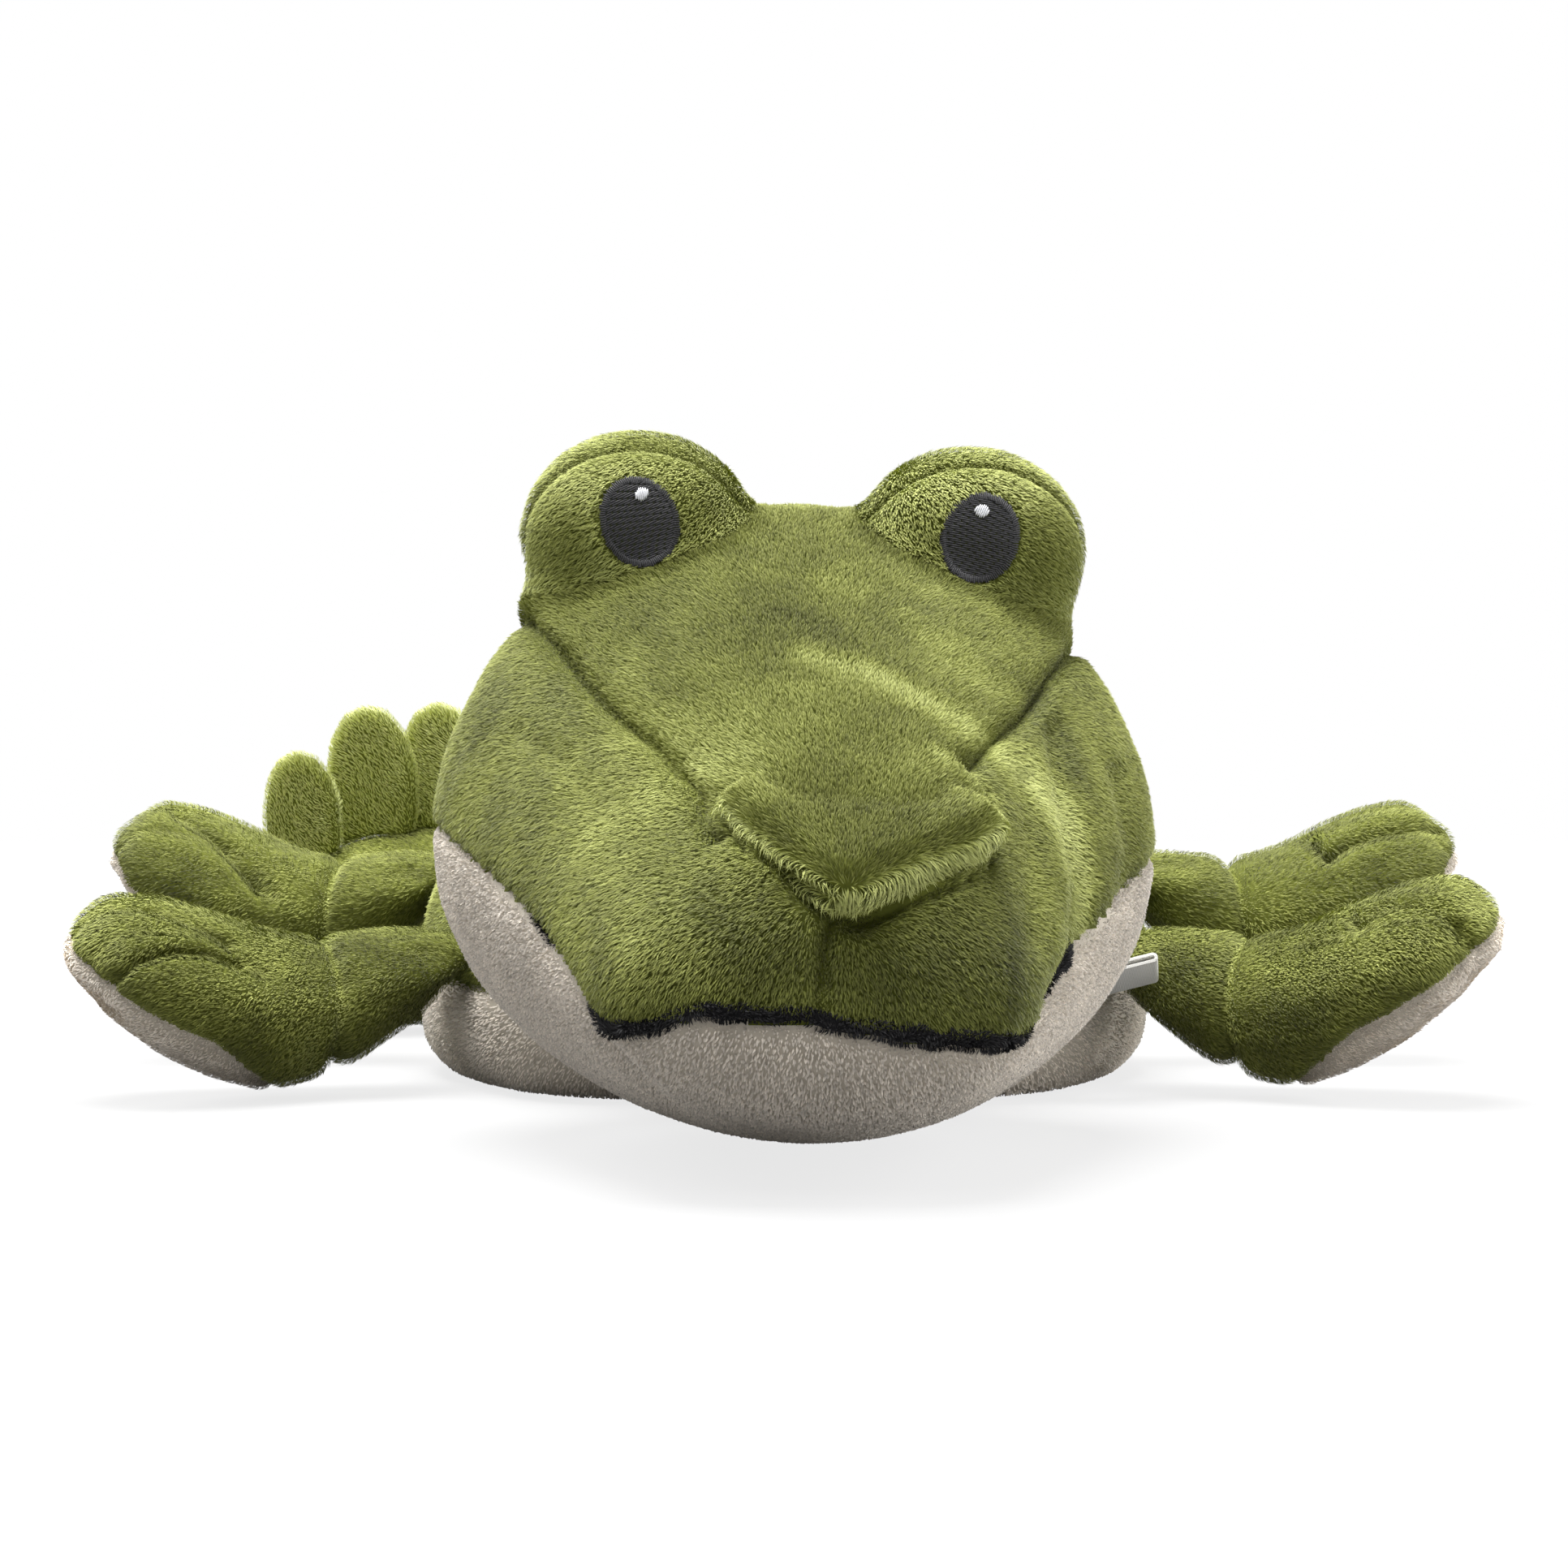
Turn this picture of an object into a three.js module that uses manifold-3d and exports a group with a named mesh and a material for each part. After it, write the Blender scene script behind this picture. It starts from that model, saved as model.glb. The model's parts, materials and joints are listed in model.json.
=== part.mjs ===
// Heatable plush crocodile, lying on its belly on z = 0 and looking along -y, with its left side at +x.
// Sewn covers are shells, each split at its seams, with fibre filling inside. All sizes are in millimetres.
import * as THREE from 'three';
import { mergeVertices } from 'three/addons/utils/BufferGeometryUtils.js';
import Module from 'manifold-3d';

const wasm = await Module();
wasm.setup();

// Cloth and fits
const coverThickness = 3;
const seamGap = 0.3;
const turnClearance = 0.8;
const fillingGap = 0.8;
const tapeThickness = 0.8;

// Body
const bodyFront = -30;
const bodyLength = 166;
const bodyWidth = 180;
const bodyHeight = 92;
const sideSeamHeight = 24;

// Head, with its neck ball
const headLength = 142;
const headWidth = 146;
const headHeight = 128;
const neckBallRadius = 40;
const neckY = -48;
const neckHeight = 48;
const headYaw = 3;
const headRoll = 2.5;
const mouthStripWidth = 2.3;
const mouthStripStandOut = 0.7;
const noseFlapWidth = 50;
const noseFlapReach = 30;
const noseFlapThickness = 9;
const noseFlapTuck = 6;
const noseFlapOverhang = 3;
const noseFlapShift = 6.5;
const noseFlapTurn = 3;

// Eyes
const eyeSpacing = 68;
const moundWidth = 49;
const moundDepth = 41;
const moundHeight = 21.5;
const eyeDrop = 20;
const moundY = -69;
const moundSeamLean = 25;
const eyeWidth = 15;
const eyeHeight = 18.5;
const eyeLean = 6;
const stitchThickness = 0.9;
const highlightSize = 3.2;

// Legs
const legLength = 86;
const legRootRadius = 5;
const legRootWidth = 30;
const legRootSink = 1.5;
const legRootClearance = 0.5;
const wristReach = 28;
const pawWidth = 50;
const pawThickness = 35;
const pawRoll = 20;
const soleThickness = 12;
const heelSetback = 8;
const toeSeamHeight = 7;
const frontLegShare = 0.23;
const frontLegHeight = 31;
const frontLegSplay = 22;
const rearLegShare = 0.663;
const rearLegHeight = 47;
const rearLegSplay = -4;

// Tail
const tailBallRadius = 26;
const tailSetback = 13;
const tailHeight = 33;
const tailSwell = 27.5;
const tailFloorGap = 1.5;
const tailReach = [
  [0, 0],
  [-20, 19],
  [-50, 31],
  [-84, 33],
  [-114, 25],
  [-140, 9],
  [-160, -12],
];

// Scutes
const scuteHeight = 36;
const scuteLength = 25;
const scuteThickness = 6;
const scuteRoot = 8;
const scuteTurn = 25;
const backScuteCount = 4;
const backScuteStart = 12;
const backScutePitch = 26;
const backScuteShare = 0.8;
const tailScutePlaces = [0.24, 0.355, 0.47, 0.585, 0.695, 0.81];
const tailScuteTaper = 0.84;
const tailScuteFull = 5;

// Pocket, flap and heat pack
const packWidth = 90;
const packLength = 72;
const packThickness = 22;
const packWall = 1.2;
const packFaceShare = 0.62;
const packSquareness = 0.55;
const packClearance = 2;
const packFront = 22;
const fillingSlitWidth = 26;
const fillingSlitHeight = 1.4;
const pocketWall = 1.2;
const pocketLip = 12;
const flapThickness = 2.2;
const flapCorner = 8;
const flapFloorGap = 0.5;
const tapeWidth = 10;

// Loop label
const labelWidth = 11;
const labelReach = 22;
const labelRoot = 8;
const labelTape = 0.7;
const labelOpening = 0.9;
const labelY = -18;
const labelRise = 14;
const labelRoll = 30;

// Facets
const ballRowShare = 0.6;
const headSides = 24;
const headRings = 14;
const mouthSteps = 24;
const topPanelSteps = 10;
const bodySides = 24;
const bodyRings = 12;
const legSides = 12;
const legRings = 8;
const tailSides = 12;
const tailRings = 10;
const socketSides = 24;
const moundSides = 14;
const packSides = 16;
const packRings = 6;

const greenPlush = { color: 0x73873c, roughness: 0.95, metalness: 0 };
const creamPlush = { color: 0xc8c3bc, roughness: 0.95, metalness: 0 };
const blackThread = { color: 0x232123, roughness: 0.6, metalness: 0 };
const whiteThread = { color: 0xeeeeee, roughness: 0.6, metalness: 0 };
const fibre = { color: 0xf4f2ec, roughness: 1, metalness: 0 };
const cotton = { color: 0xd9cfb8, roughness: 0.9, metalness: 0 };
const grain = { color: 0x5a3f28, roughness: 0.8, metalness: 0 };
const tape = { color: 0xe4e0d6, roughness: 0.85, metalness: 0 };
const ribbon = { color: 0xf2efe8, roughness: 0.8, metalness: 0 };

const far = 1000;
const neck = new THREE.Vector3(0, neckY, neckHeight);
const bodyRear = bodyFront + bodyLength;
const tailRoot = new THREE.Vector3(0, bodyRear + tailSetback, tailHeight);
const legPlaces = [
  { name: 'front', y: bodyFront + frontLegShare * bodyLength, height: frontLegHeight, splay: frontLegSplay },
  { name: 'rear', y: bodyFront + rearLegShare * bodyLength, height: rearLegHeight, splay: rearLegSplay },
];
const toy = new THREE.Group();

// A closed three.js geometry as a solid
function solid(geometry) {
  const bare = geometry.clone();
  bare.deleteAttribute('normal');
  bare.deleteAttribute('uv');
  const merged = mergeVertices(bare, 1e-4);
  const vertProperties = new Float32Array(merged.attributes.position.array);
  const triVerts = new Uint32Array(merged.index.array);
  return new wasm.Manifold(new wasm.Mesh({ numProp: 3, vertProperties, triVerts }));
}

function addPiece(group, name, body, finish) {
  const mesh = body.getMesh();
  const geometry = new THREE.BufferGeometry();
  geometry.setAttribute('position', new THREE.BufferAttribute(new Float32Array(mesh.vertProperties), 3));
  geometry.setIndex(new THREE.BufferAttribute(new Uint32Array(mesh.triVerts), 1));
  geometry.translate(-group.position.x, -group.position.y, -group.position.z);
  geometry.computeVertexNormals();
  const piece = new THREE.Mesh(geometry, new THREE.MeshStandardMaterial(finish));
  piece.name = name;
  group.add(piece);
}

// Skins a row of rings, each a list of points, and closes both ends
function skin(rings) {
  const points = [];
  const faces = [];
  const count = rings[0].length;
  for (const ring of rings) {
    for (const point of ring) {
      points.push(point.x, point.y, point.z);
    }
  }
  for (let row = 0; row + 1 < rings.length; row += 1) {
    for (let side = 0; side < count; side += 1) {
      const next = (side + 1) % count;
      const a = row * count + side;
      const b = row * count + next;
      faces.push(a, b, a + count, b, b + count, a + count);
    }
  }
  const lastStart = count * (rings.length - 1);
  for (const [ring, start, flip] of [[rings[0], 0, true], [rings.at(-1), lastStart, false]]) {
    const middle = new THREE.Vector3();
    for (const point of ring) {
      middle.addScaledVector(point, 1 / count);
    }
    const centre = points.length / 3;
    points.push(middle.x, middle.y, middle.z);
    for (let side = 0; side < count; side += 1) {
      const a = start + side;
      const b = start + ((side + 1) % count);
      faces.push(centre, flip ? b : a, flip ? a : b);
    }
  }
  const geometry = new THREE.BufferGeometry();
  geometry.setAttribute('position', new THREE.Float32BufferAttribute(points, 3));
  geometry.setIndex(faces);
  return solid(geometry);
}

// Smooth values between stations, each a row of numbers that starts with its place
function between(stations) {
  const places = stations.map((row) => row[0]);
  const values = stations.flatMap((row) => row.slice(1));
  const curve = new THREE.CubicInterpolant(places, values, stations[0].length - 1);
  return (place) => Array.from(curve.evaluate(place));
}

function box(low, high) {
  const size = high.map((value, axis) => value - low[axis]);
  const geometry = new THREE.BoxGeometry(...size);
  geometry.translate(...low.map((value, axis) => value + size[axis] / 2));
  return solid(geometry);
}

function ball(centre, radius, sides) {
  const geometry = new THREE.SphereGeometry(radius, sides, Math.round(sides * ballRowShare));
  geometry.translate(centre.x, centre.y, centre.z);
  return solid(geometry);
}

// An outline in the y-z plane, run right across the toy along x
function sidePrism(outline) {
  const shape = new THREE.Shape(outline.map(([y, z]) => new THREE.Vector2(y, z)));
  const geometry = new THREE.ExtrudeGeometry(shape, { depth: 2 * far, bevelEnabled: false });
  geometry.translate(0, 0, -far);
  const turn = new THREE.Matrix4().makeBasis(
    new THREE.Vector3(0, 1, 0),
    new THREE.Vector3(0, 0, 1),
    new THREE.Vector3(1, 0, 0),
  );
  return solid(geometry.applyMatrix4(turn));
}

// An outline in the x-y plane, run right through the toy along z
function planPrism(outline) {
  const shape = new THREE.Shape(outline.map(([x, y]) => new THREE.Vector2(x, y)));
  const geometry = new THREE.ExtrudeGeometry(shape, { depth: 2 * far, bevelEnabled: false });
  return solid(geometry.translate(0, 0, -far));
}

// A swelling form with upright sections along y: place, half width, top, bottom and widest level.
function roundForm(sizesAt, front, rear, crown, sag) {
  function ring(y, shift, sides, inset) {
    const [half, top, bottom, wide] = sizesAt(y);
    const points = [];
    for (let side = 0; side < sides; side += 1) {
      const angle = (2 * Math.PI * side) / sides;
      const power = 2 / (Math.sin(angle) >= 0 ? crown : sag);
      const reach = Math.sin(angle) >= 0 ? top - inset - wide : wide - bottom - inset;
      const across = Math.sign(Math.cos(angle)) * Math.abs(Math.cos(angle)) ** power;
      const up = Math.sign(Math.sin(angle)) * Math.abs(Math.sin(angle)) ** power;
      points.push(new THREE.Vector3((half - inset) * across, y + shift, wide + reach * up));
    }
    return points.reverse();
  }
  return {
    // Rings lie closer together towards both ends, where the form closes.
    body(inset, rings, sides) {
      const list = [];
      for (let row = 0; row <= rings; row += 1) {
        const share = (1 - Math.cos((Math.PI * row) / rings)) / 2;
        const y = THREE.MathUtils.lerp(front, rear, share);
        const end = row === 0 ? inset : row === rings ? -inset : 0;
        list.push(ring(y, end, sides, inset));
      }
      return skin(list);
    },
    halfWidth(y, z) {
      const [half, top, bottom, wide] = sizesAt(y);
      const power = z > wide ? crown : sag;
      const share = z > wide ? (z - wide) / (top - wide) : (wide - z) / (wide - bottom);
      return half * (1 - share ** power) ** (1 / power);
    },
    top(x, y) {
      const [half, top, , wide] = sizesAt(y);
      return wide + (top - wide) * (1 - (Math.abs(x) / half) ** crown) ** (1 / crown);
    },
  };
}

// Body form: share of the length and of the half width, then top, underside and widest level as shares
// of the height. The floor flattens what lies below it.
const bodyShape = [
  [0, 0.54, 0.96, 0.022, 0.348],
  [0.08, 0.7, 0.98, -0.033, 0.283],
  [0.22, 0.83, 1, -0.065, 0.228],
  [0.36, 0.94, 1, -0.065, 0.217],
  [0.52, 1, 0.99, -0.065, 0.217],
  [0.67, 0.97, 0.96, -0.065, 0.217],
  [0.79, 0.88, 0.88, -0.065, 0.217],
  [0.9, 0.69, 0.76, -0.043, 0.239],
  [0.97, 0.45, 0.65, 0.022, 0.293],
  [1, 0.27, 0.57, 0.087, 0.326],
];
const bodyAt = between(bodyShape.map(([share, half, top, underside, wide]) => [
  bodyFront + share * bodyLength,
  (half * bodyWidth) / 2,
  top * bodyHeight,
  underside * bodyHeight,
  wide * bodyHeight,
]));
const bodyForm = roundForm(bodyAt, bodyFront, bodyRear, 2.2, 4);

// Head form, from the snout back to the neck ball: share of the length and of the half width, then top,
// chin and widest level as shares of the height.
const headShape = [
  [0, 0.27, 0.36, 0.188, 0.25],
  [0.03, 0.4, 0.405, 0.14, 0.25],
  [0.09, 0.5, 0.46, 0.1, 0.258],
  [0.19, 0.59, 0.535, 0.07, 0.281],
  [0.33, 0.7, 0.605, 0.039, 0.328],
  [0.47, 0.83, 0.705, 0.023, 0.375],
  [0.61, 0.94, 0.835, 0.013, 0.422],
  [0.75, 1, 0.95, 0.011, 0.453],
  [0.87, 0.95, 1, 0.023, 0.469],
  [0.96, 0.78, 0.94, 0.086, 0.453],
  [1, 0.52, 0.69, 0.14, 0.406],
];
const headRear = neckY + coverThickness;
const headFront = headRear - headLength;
const headAt = between(headShape.map(([share, half, top, chin, wide]) => [
  headFront + share * headLength,
  (half * headWidth) / 2,
  top * headHeight,
  chin * headHeight,
  wide * headHeight,
]));
const headForm = roundForm(headAt, headFront, headRear, 2, 2);

// Tail form along its swept path
const tailPath = new THREE.CatmullRomCurve3(
  tailReach.map(([x, y]) => new THREE.Vector3(tailRoot.x + x, tailRoot.y + y, 0)),
);
const tailRootShare = 0.2;
const tailThicknessAt = between([
  [0, tailBallRadius * 0.9],
  [tailRootShare, tailSwell * 0.98],
  [0.5, tailSwell],
  [0.72, tailSwell * 0.97],
  [0.88, tailSwell * 0.7],
  [1, tailSwell * 0.25],
]);

function tailCentre(share) {
  const point = tailPath.getPointAt(share);
  const radius = tailThicknessAt(share)[0];
  const lift = Math.max(0, 1 - share / tailRootShare) * (tailRoot.z - radius - tailFloorGap);
  return point.setZ(radius + tailFloorGap + lift);
}

function tailBody(inset, sides) {
  const list = [];
  for (let row = 0; row <= tailRings; row += 1) {
    const share = row / tailRings;
    const along = tailPath.getTangentAt(share);
    const across = new THREE.Vector3(-along.y, along.x, 0);
    const radius = Math.max(tailThicknessAt(share)[0] - inset, 1);
    const centre = tailCentre(share).addScaledVector(along, row === tailRings ? -inset : 0);
    const ring = [];
    for (let side = 0; side < sides; side += 1) {
      const angle = (2 * Math.PI * side) / sides;
      const point = centre.clone().addScaledVector(across, radius * Math.cos(angle));
      point.z += radius * Math.sin(angle);
      ring.push(point);
    }
    list.push(ring);
  }
  return skin(list).add(ball(tailRoot, tailBallRadius - inset, (4 * sides) / 3));
}

// Leaf outline of a padded scute, standing in a plane that holds the direction it runs in
function scute(place, direction, height) {
  const half = (scuteLength * height) / scuteHeight / 2;
  const leaf = new THREE.Shape();
  leaf.moveTo(-half * 0.7, -scuteRoot);
  leaf.lineTo(half * 0.7, -scuteRoot);
  leaf.bezierCurveTo(half * 1.3, height * 0.4, half * 1.1, height * 0.95, half * 0.2, height);
  leaf.bezierCurveTo(-half * 0.6, height * 1.03, -half * 1.4, height * 0.5, -half * 0.7, -scuteRoot);
  const rim = scuteThickness * 0.3;
  const geometry = new THREE.ExtrudeGeometry(leaf, {
    depth: scuteThickness - 2 * rim,
    bevelThickness: rim,
    bevelSize: rim,
    bevelOffset: -rim,
    bevelSegments: 1,
    curveSegments: 5,
  });
  geometry.translate(0, 0, rim - scuteThickness / 2);
  const along = direction.clone().normalize();
  const up = new THREE.Vector3(0, 0, 1);
  const stand = new THREE.Matrix4().makeBasis(along, up, along.clone().cross(up)).setPosition(place);
  return solid(geometry.applyMatrix4(stand));
}

// Pocket and flap places, all taken from the heat pack
const pocketHalf = packWidth / 2 + packClearance;
const pocketFront = packFront - packClearance;
const pocketRear = packFront + packLength + packClearance;
const flapTop = flapFloorGap + flapThickness;
const hookTop = flapTop + seamGap + tapeThickness;
const loopTop = hookTop + seamGap + tapeThickness;
const lipBottom = loopTop + seamGap;
const packBottom = flapTop + seamGap;
const packTop = packBottom + packThickness;
const pocketTop = packTop + packClearance;
const flapHalf = pocketHalf + pocketWall;
const flapFront = pocketFront - pocketLip;
const flapRear = pocketRear + pocketLip;
const tapeRear = flapRear - seamGap;

function buildBody() {
  const neckSocket = ball(neck, neckBallRadius + turnClearance, socketSides);
  const tailSocket = ball(tailRoot, tailBallRadius + turnClearance, socketSides);
  const floor = box([-far, -far, 0], [far, far, far]);
  const innerFloor = box([-far, -far, coverThickness], [far, far, far]);
  const fillingFloor = box([-far, -far, coverThickness + fillingGap], [far, far, far]);
  let outer = bodyForm.body(0, bodyRings, bodySides).intersect(floor);
  const inner = bodyForm.body(coverThickness, bodyRings / 2, bodySides / 2).intersect(innerFloor);
  for (const place of legPlaces) {
    for (const side of [-1, 1]) {
      outer = outer.subtract(legSocket(place, side));
    }
  }
  const shell = outer.subtract(inner).subtract(neckSocket).subtract(tailSocket);
  const above = box([-far, -far, sideSeamHeight + seamGap / 2], [far, far, far]);
  const below = box([-far, -far, -far], [far, far, sideSeamHeight - seamGap / 2]);
  const opening = box(
    [-flapHalf - seamGap, flapFront - seamGap, -far],
    [flapHalf + seamGap, flapRear + seamGap, coverThickness + seamGap],
  );
  addPiece(toy, 'back_cover', shell.intersect(above), greenPlush);
  addPiece(toy, 'belly_cover', shell.intersect(below).subtract(opening), creamPlush);

  const lining = box(
    [-flapHalf, pocketFront - pocketWall, lipBottom],
    [flapHalf, pocketRear + pocketWall, pocketTop + pocketWall],
  );
  const lips = box([-flapHalf, flapFront, lipBottom], [flapHalf, flapRear, lipBottom + pocketWall]);
  const hollow = box([-pocketHalf, pocketFront, -far], [pocketHalf, pocketRear, pocketTop]);
  addPiece(toy, 'pocket_lining', lining.add(lips).subtract(hollow), cotton);
  addPiece(
    toy,
    'loop_tape',
    box(
      [flapCorner - pocketHalf, tapeRear - tapeWidth, hookTop + seamGap],
      [pocketHalf - flapCorner, tapeRear, loopTop],
    ),
    tape,
  );

  const room = box(
    [-flapHalf - seamGap, pocketFront - pocketWall - seamGap, -far],
    [flapHalf + seamGap, pocketRear + pocketWall + seamGap, pocketTop + pocketWall + seamGap],
  );
  const lipRoom = box(
    [-flapHalf - seamGap, flapFront - seamGap, -far],
    [flapHalf + seamGap, flapRear + seamGap, lipBottom + pocketWall + seamGap],
  );
  const filling = bodyForm
    .body(coverThickness + fillingGap, bodyRings / 2, bodySides / 2)
    .intersect(fillingFloor)
    .subtract(room)
    .subtract(lipRoom)
    .subtract(neckSocket)
    .subtract(tailSocket);
  addPiece(toy, 'body_filling', filling, fibre);

  const backSkin = bodyForm.body(-seamGap, bodyRings, bodySides);
  for (let index = 0; index < backScuteCount; index += 1) {
    const y = backScuteStart + index * backScutePitch;
    const place = new THREE.Vector3(0, y, bodyForm.top(0, y));
    const piece = scute(place, new THREE.Vector3(0, 1, 0), scuteHeight * backScuteShare).subtract(backSkin);
    addPiece(toy, `back_scute_${index + 1}`, piece, greenPlush);
  }
  buildLabel();
}

// Loop label: a ribbon folded back on itself, with its two ends in the side seam
function buildLabel() {
  const rootX = bodyForm.halfWidth(labelY, sideSeamHeight);
  const half = labelOpening / 2 + labelTape;
  const loop = new THREE.Shape();
  loop.moveTo(-labelRoot, -half);
  loop.lineTo(labelReach - half, -half);
  loop.absarc(labelReach - half, 0, half, -Math.PI / 2, Math.PI / 2);
  loop.lineTo(-labelRoot, half);
  loop.lineTo(-labelRoot, labelOpening / 2);
  loop.lineTo(labelReach - half, labelOpening / 2);
  loop.absarc(labelReach - half, 0, labelOpening / 2, Math.PI / 2, -Math.PI / 2, true);
  loop.lineTo(-labelRoot, -labelOpening / 2);
  const geometry = new THREE.ExtrudeGeometry(loop, {
    depth: labelWidth,
    bevelEnabled: false,
    curveSegments: 6,
  });
  geometry.translate(0, 0, -labelWidth / 2);
  geometry.rotateX(Math.PI / 2 - THREE.MathUtils.degToRad(labelRoll));
  geometry.rotateY(-THREE.MathUtils.degToRad(labelRise));
  geometry.translate(rootX, labelY, sideSeamHeight);
  const skinClear = bodyForm.body(-seamGap, bodyRings, bodySides);
  addPiece(toy, 'loop_label', solid(geometry).subtract(skinClear), ribbon);
}

function buildPack() {
  const half = packWidth / 2;
  const middle = new THREE.Vector3(0, packFront + packLength / 2, packBottom + packThickness / 2);
  // Rings of the pillow, from its lower face to its upper one
  function pillow(inset) {
    const list = [];
    for (let row = 0; row <= packRings; row += 1) {
      const level = Math.sin(Math.PI * (row / packRings - 0.5));
      const share = packFaceShare + (1 - packFaceShare) * Math.sqrt(1 - level ** 2);
      const ring = [];
      for (let side = 0; side < packSides; side += 1) {
        const angle = (2 * Math.PI * side) / packSides;
        const across = Math.sign(Math.cos(angle)) * Math.abs(Math.cos(angle)) ** packSquareness;
        const along = Math.sign(Math.sin(angle)) * Math.abs(Math.sin(angle)) ** packSquareness;
        ring.push(new THREE.Vector3(
          middle.x + (half - inset) * share * across,
          middle.y + (packLength / 2 - inset) * share * along,
          middle.z + (packThickness / 2 - inset) * level,
        ));
      }
      list.push(ring);
    }
    return skin(list);
  }
  const slit = box(
    [-fillingSlitWidth / 2, middle.y, middle.z - fillingSlitHeight / 2],
    [fillingSlitWidth / 2, far, middle.z + fillingSlitHeight / 2],
  );
  addPiece(toy, 'heat_pack_case', pillow(0).subtract(pillow(packWall)).subtract(slit), cotton);
  addPiece(toy, 'grain_filling', pillow(packWall + seamGap), grain);

  const outline = new THREE.Shape();
  outline.moveTo(-flapHalf, flapFront);
  outline.lineTo(flapHalf, flapFront);
  outline.lineTo(flapHalf, flapRear - flapCorner);
  outline.absarc(flapHalf - flapCorner, flapRear - flapCorner, flapCorner, 0, Math.PI / 2);
  outline.lineTo(flapCorner - flapHalf, flapRear);
  outline.absarc(flapCorner - flapHalf, flapRear - flapCorner, flapCorner, Math.PI / 2, Math.PI);
  const flap = new THREE.ExtrudeGeometry(outline, {
    depth: flapThickness,
    bevelEnabled: false,
    curveSegments: 5,
  });
  addPiece(toy, 'pocket_flap', solid(flap.translate(0, 0, flapFloorGap)), creamPlush);
  addPiece(
    toy,
    'hook_tape',
    box(
      [flapCorner - pocketHalf, tapeRear - tapeWidth, flapTop + seamGap],
      [pocketHalf - flapCorner, tapeRear, hookTop],
    ),
    tape,
  );
}

// Mouth seam in side view, from the snout back to the neck: shares of the head's length and height
const mouthLine = new THREE.SplineCurve([
  [-0.07, 0.221],
  [0.02, 0.221],
  [0.07, 0.216],
  [0.12, 0.234],
  [0.21, 0.295],
  [0.34, 0.357],
  [0.52, 0.418],
  [0.74, 0.464],
  [1, 0.438],
  [1.33, 0.375],
].map(([along, up]) => new THREE.Vector2(headFront + along * headLength, up * headHeight)));
const stripRear = headFront + 0.47 * headLength;

// The part of the head on one side of the mouth seam, which is wider where the black strip lies in it
function mouthSide(sign) {
  const points = mouthLine.getPoints(mouthSteps).map((point) => {
    const half = point.x < stripRear ? mouthStripWidth / 2 + seamGap : seamGap / 2;
    return [point.x, point.y + sign * half];
  });
  const last = points.at(-1);
  return sidePrism([...points, [last[0], sign * far], [points[0][0], sign * far]]);
}

function mouthBand() {
  const line = mouthLine.getPoints(mouthSteps).filter((point) => point.x < stripRear);
  const half = mouthStripWidth / 2;
  const upper = line.map((point) => [point.x, point.y + half]);
  const lower = line.map((point) => [point.x, point.y - half]);
  return sidePrism([...lower, ...upper.reverse()]);
}

// Half width of the top panel along the head
const topPanelEnd = headFront + 0.12 * headLength;
const topPanelAt = between([
  [topPanelEnd, noseFlapWidth * 0.36],
  [headFront + 0.3 * headLength, headWidth * 0.17],
  [headFront + 0.5 * headLength, headWidth * 0.27],
  [headFront + 0.68 * headLength, headWidth * 0.35],
  [headFront + 0.84 * headLength, headWidth * 0.39],
  [neckY + 1.3 * neckBallRadius, headWidth * 0.39],
]);

function topPanel(grow) {
  const rear = neckY + 1.15 * neckBallRadius;
  const right = [];
  for (let row = 0; row <= topPanelSteps; row += 1) {
    const y = THREE.MathUtils.lerp(topPanelEnd, rear, row / topPanelSteps);
    right.push([topPanelAt(y)[0] + grow, row === 0 ? y - grow : y]);
  }
  const left = right.map(([x, y]) => [-x, y]).reverse();
  return planPrism([...right, ...left]);
}

function buildHead() {
  const head = new THREE.Group();
  head.position.copy(neck);
  head.rotation.set(0, THREE.MathUtils.degToRad(headRoll), THREE.MathUtils.degToRad(headYaw));
  toy.add(head);

  const whole = (inset, share) => headForm
    .body(inset, headRings * share, headSides * share)
    .add(ball(neck, neckBallRadius - inset, (2 * headSides * share) / 3));
  const outer = whole(0, 1);
  const inner = whole(coverThickness, 0.5);
  const clear = whole(-seamGap, 1);
  const shell = outer.subtract(inner);
  const upper = shell.intersect(mouthSide(1));
  const sides = upper.subtract(topPanel(seamGap));
  addPiece(head, 'head_top_panel', upper.intersect(topPanel(0)), greenPlush);
  for (const [name, low, high] of [['right', -far, -seamGap / 2], ['left', seamGap / 2, far]]) {
    const cheek = sides.intersect(box([low, -far, -far], [high, far, far]));
    addPiece(head, `cheek_panel_${name}`, cheek, greenPlush);
  }
  addPiece(head, 'jaw_panel', shell.intersect(mouthSide(-1)), creamPlush);
  const strip = whole(-mouthStripStandOut, 1).subtract(inner).intersect(mouthBand());
  addPiece(head, 'mouth_strip', strip, blackThread);
  addPiece(head, 'head_filling', whole(coverThickness + fillingGap, 0.5), fibre);
  addPiece(head, 'nose_flap', noseFlap().subtract(clear), greenPlush);
  for (const [name, sign] of [['right', -1], ['left', 1]]) {
    buildEye(head, name, sign, clear);
  }
}

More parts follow.
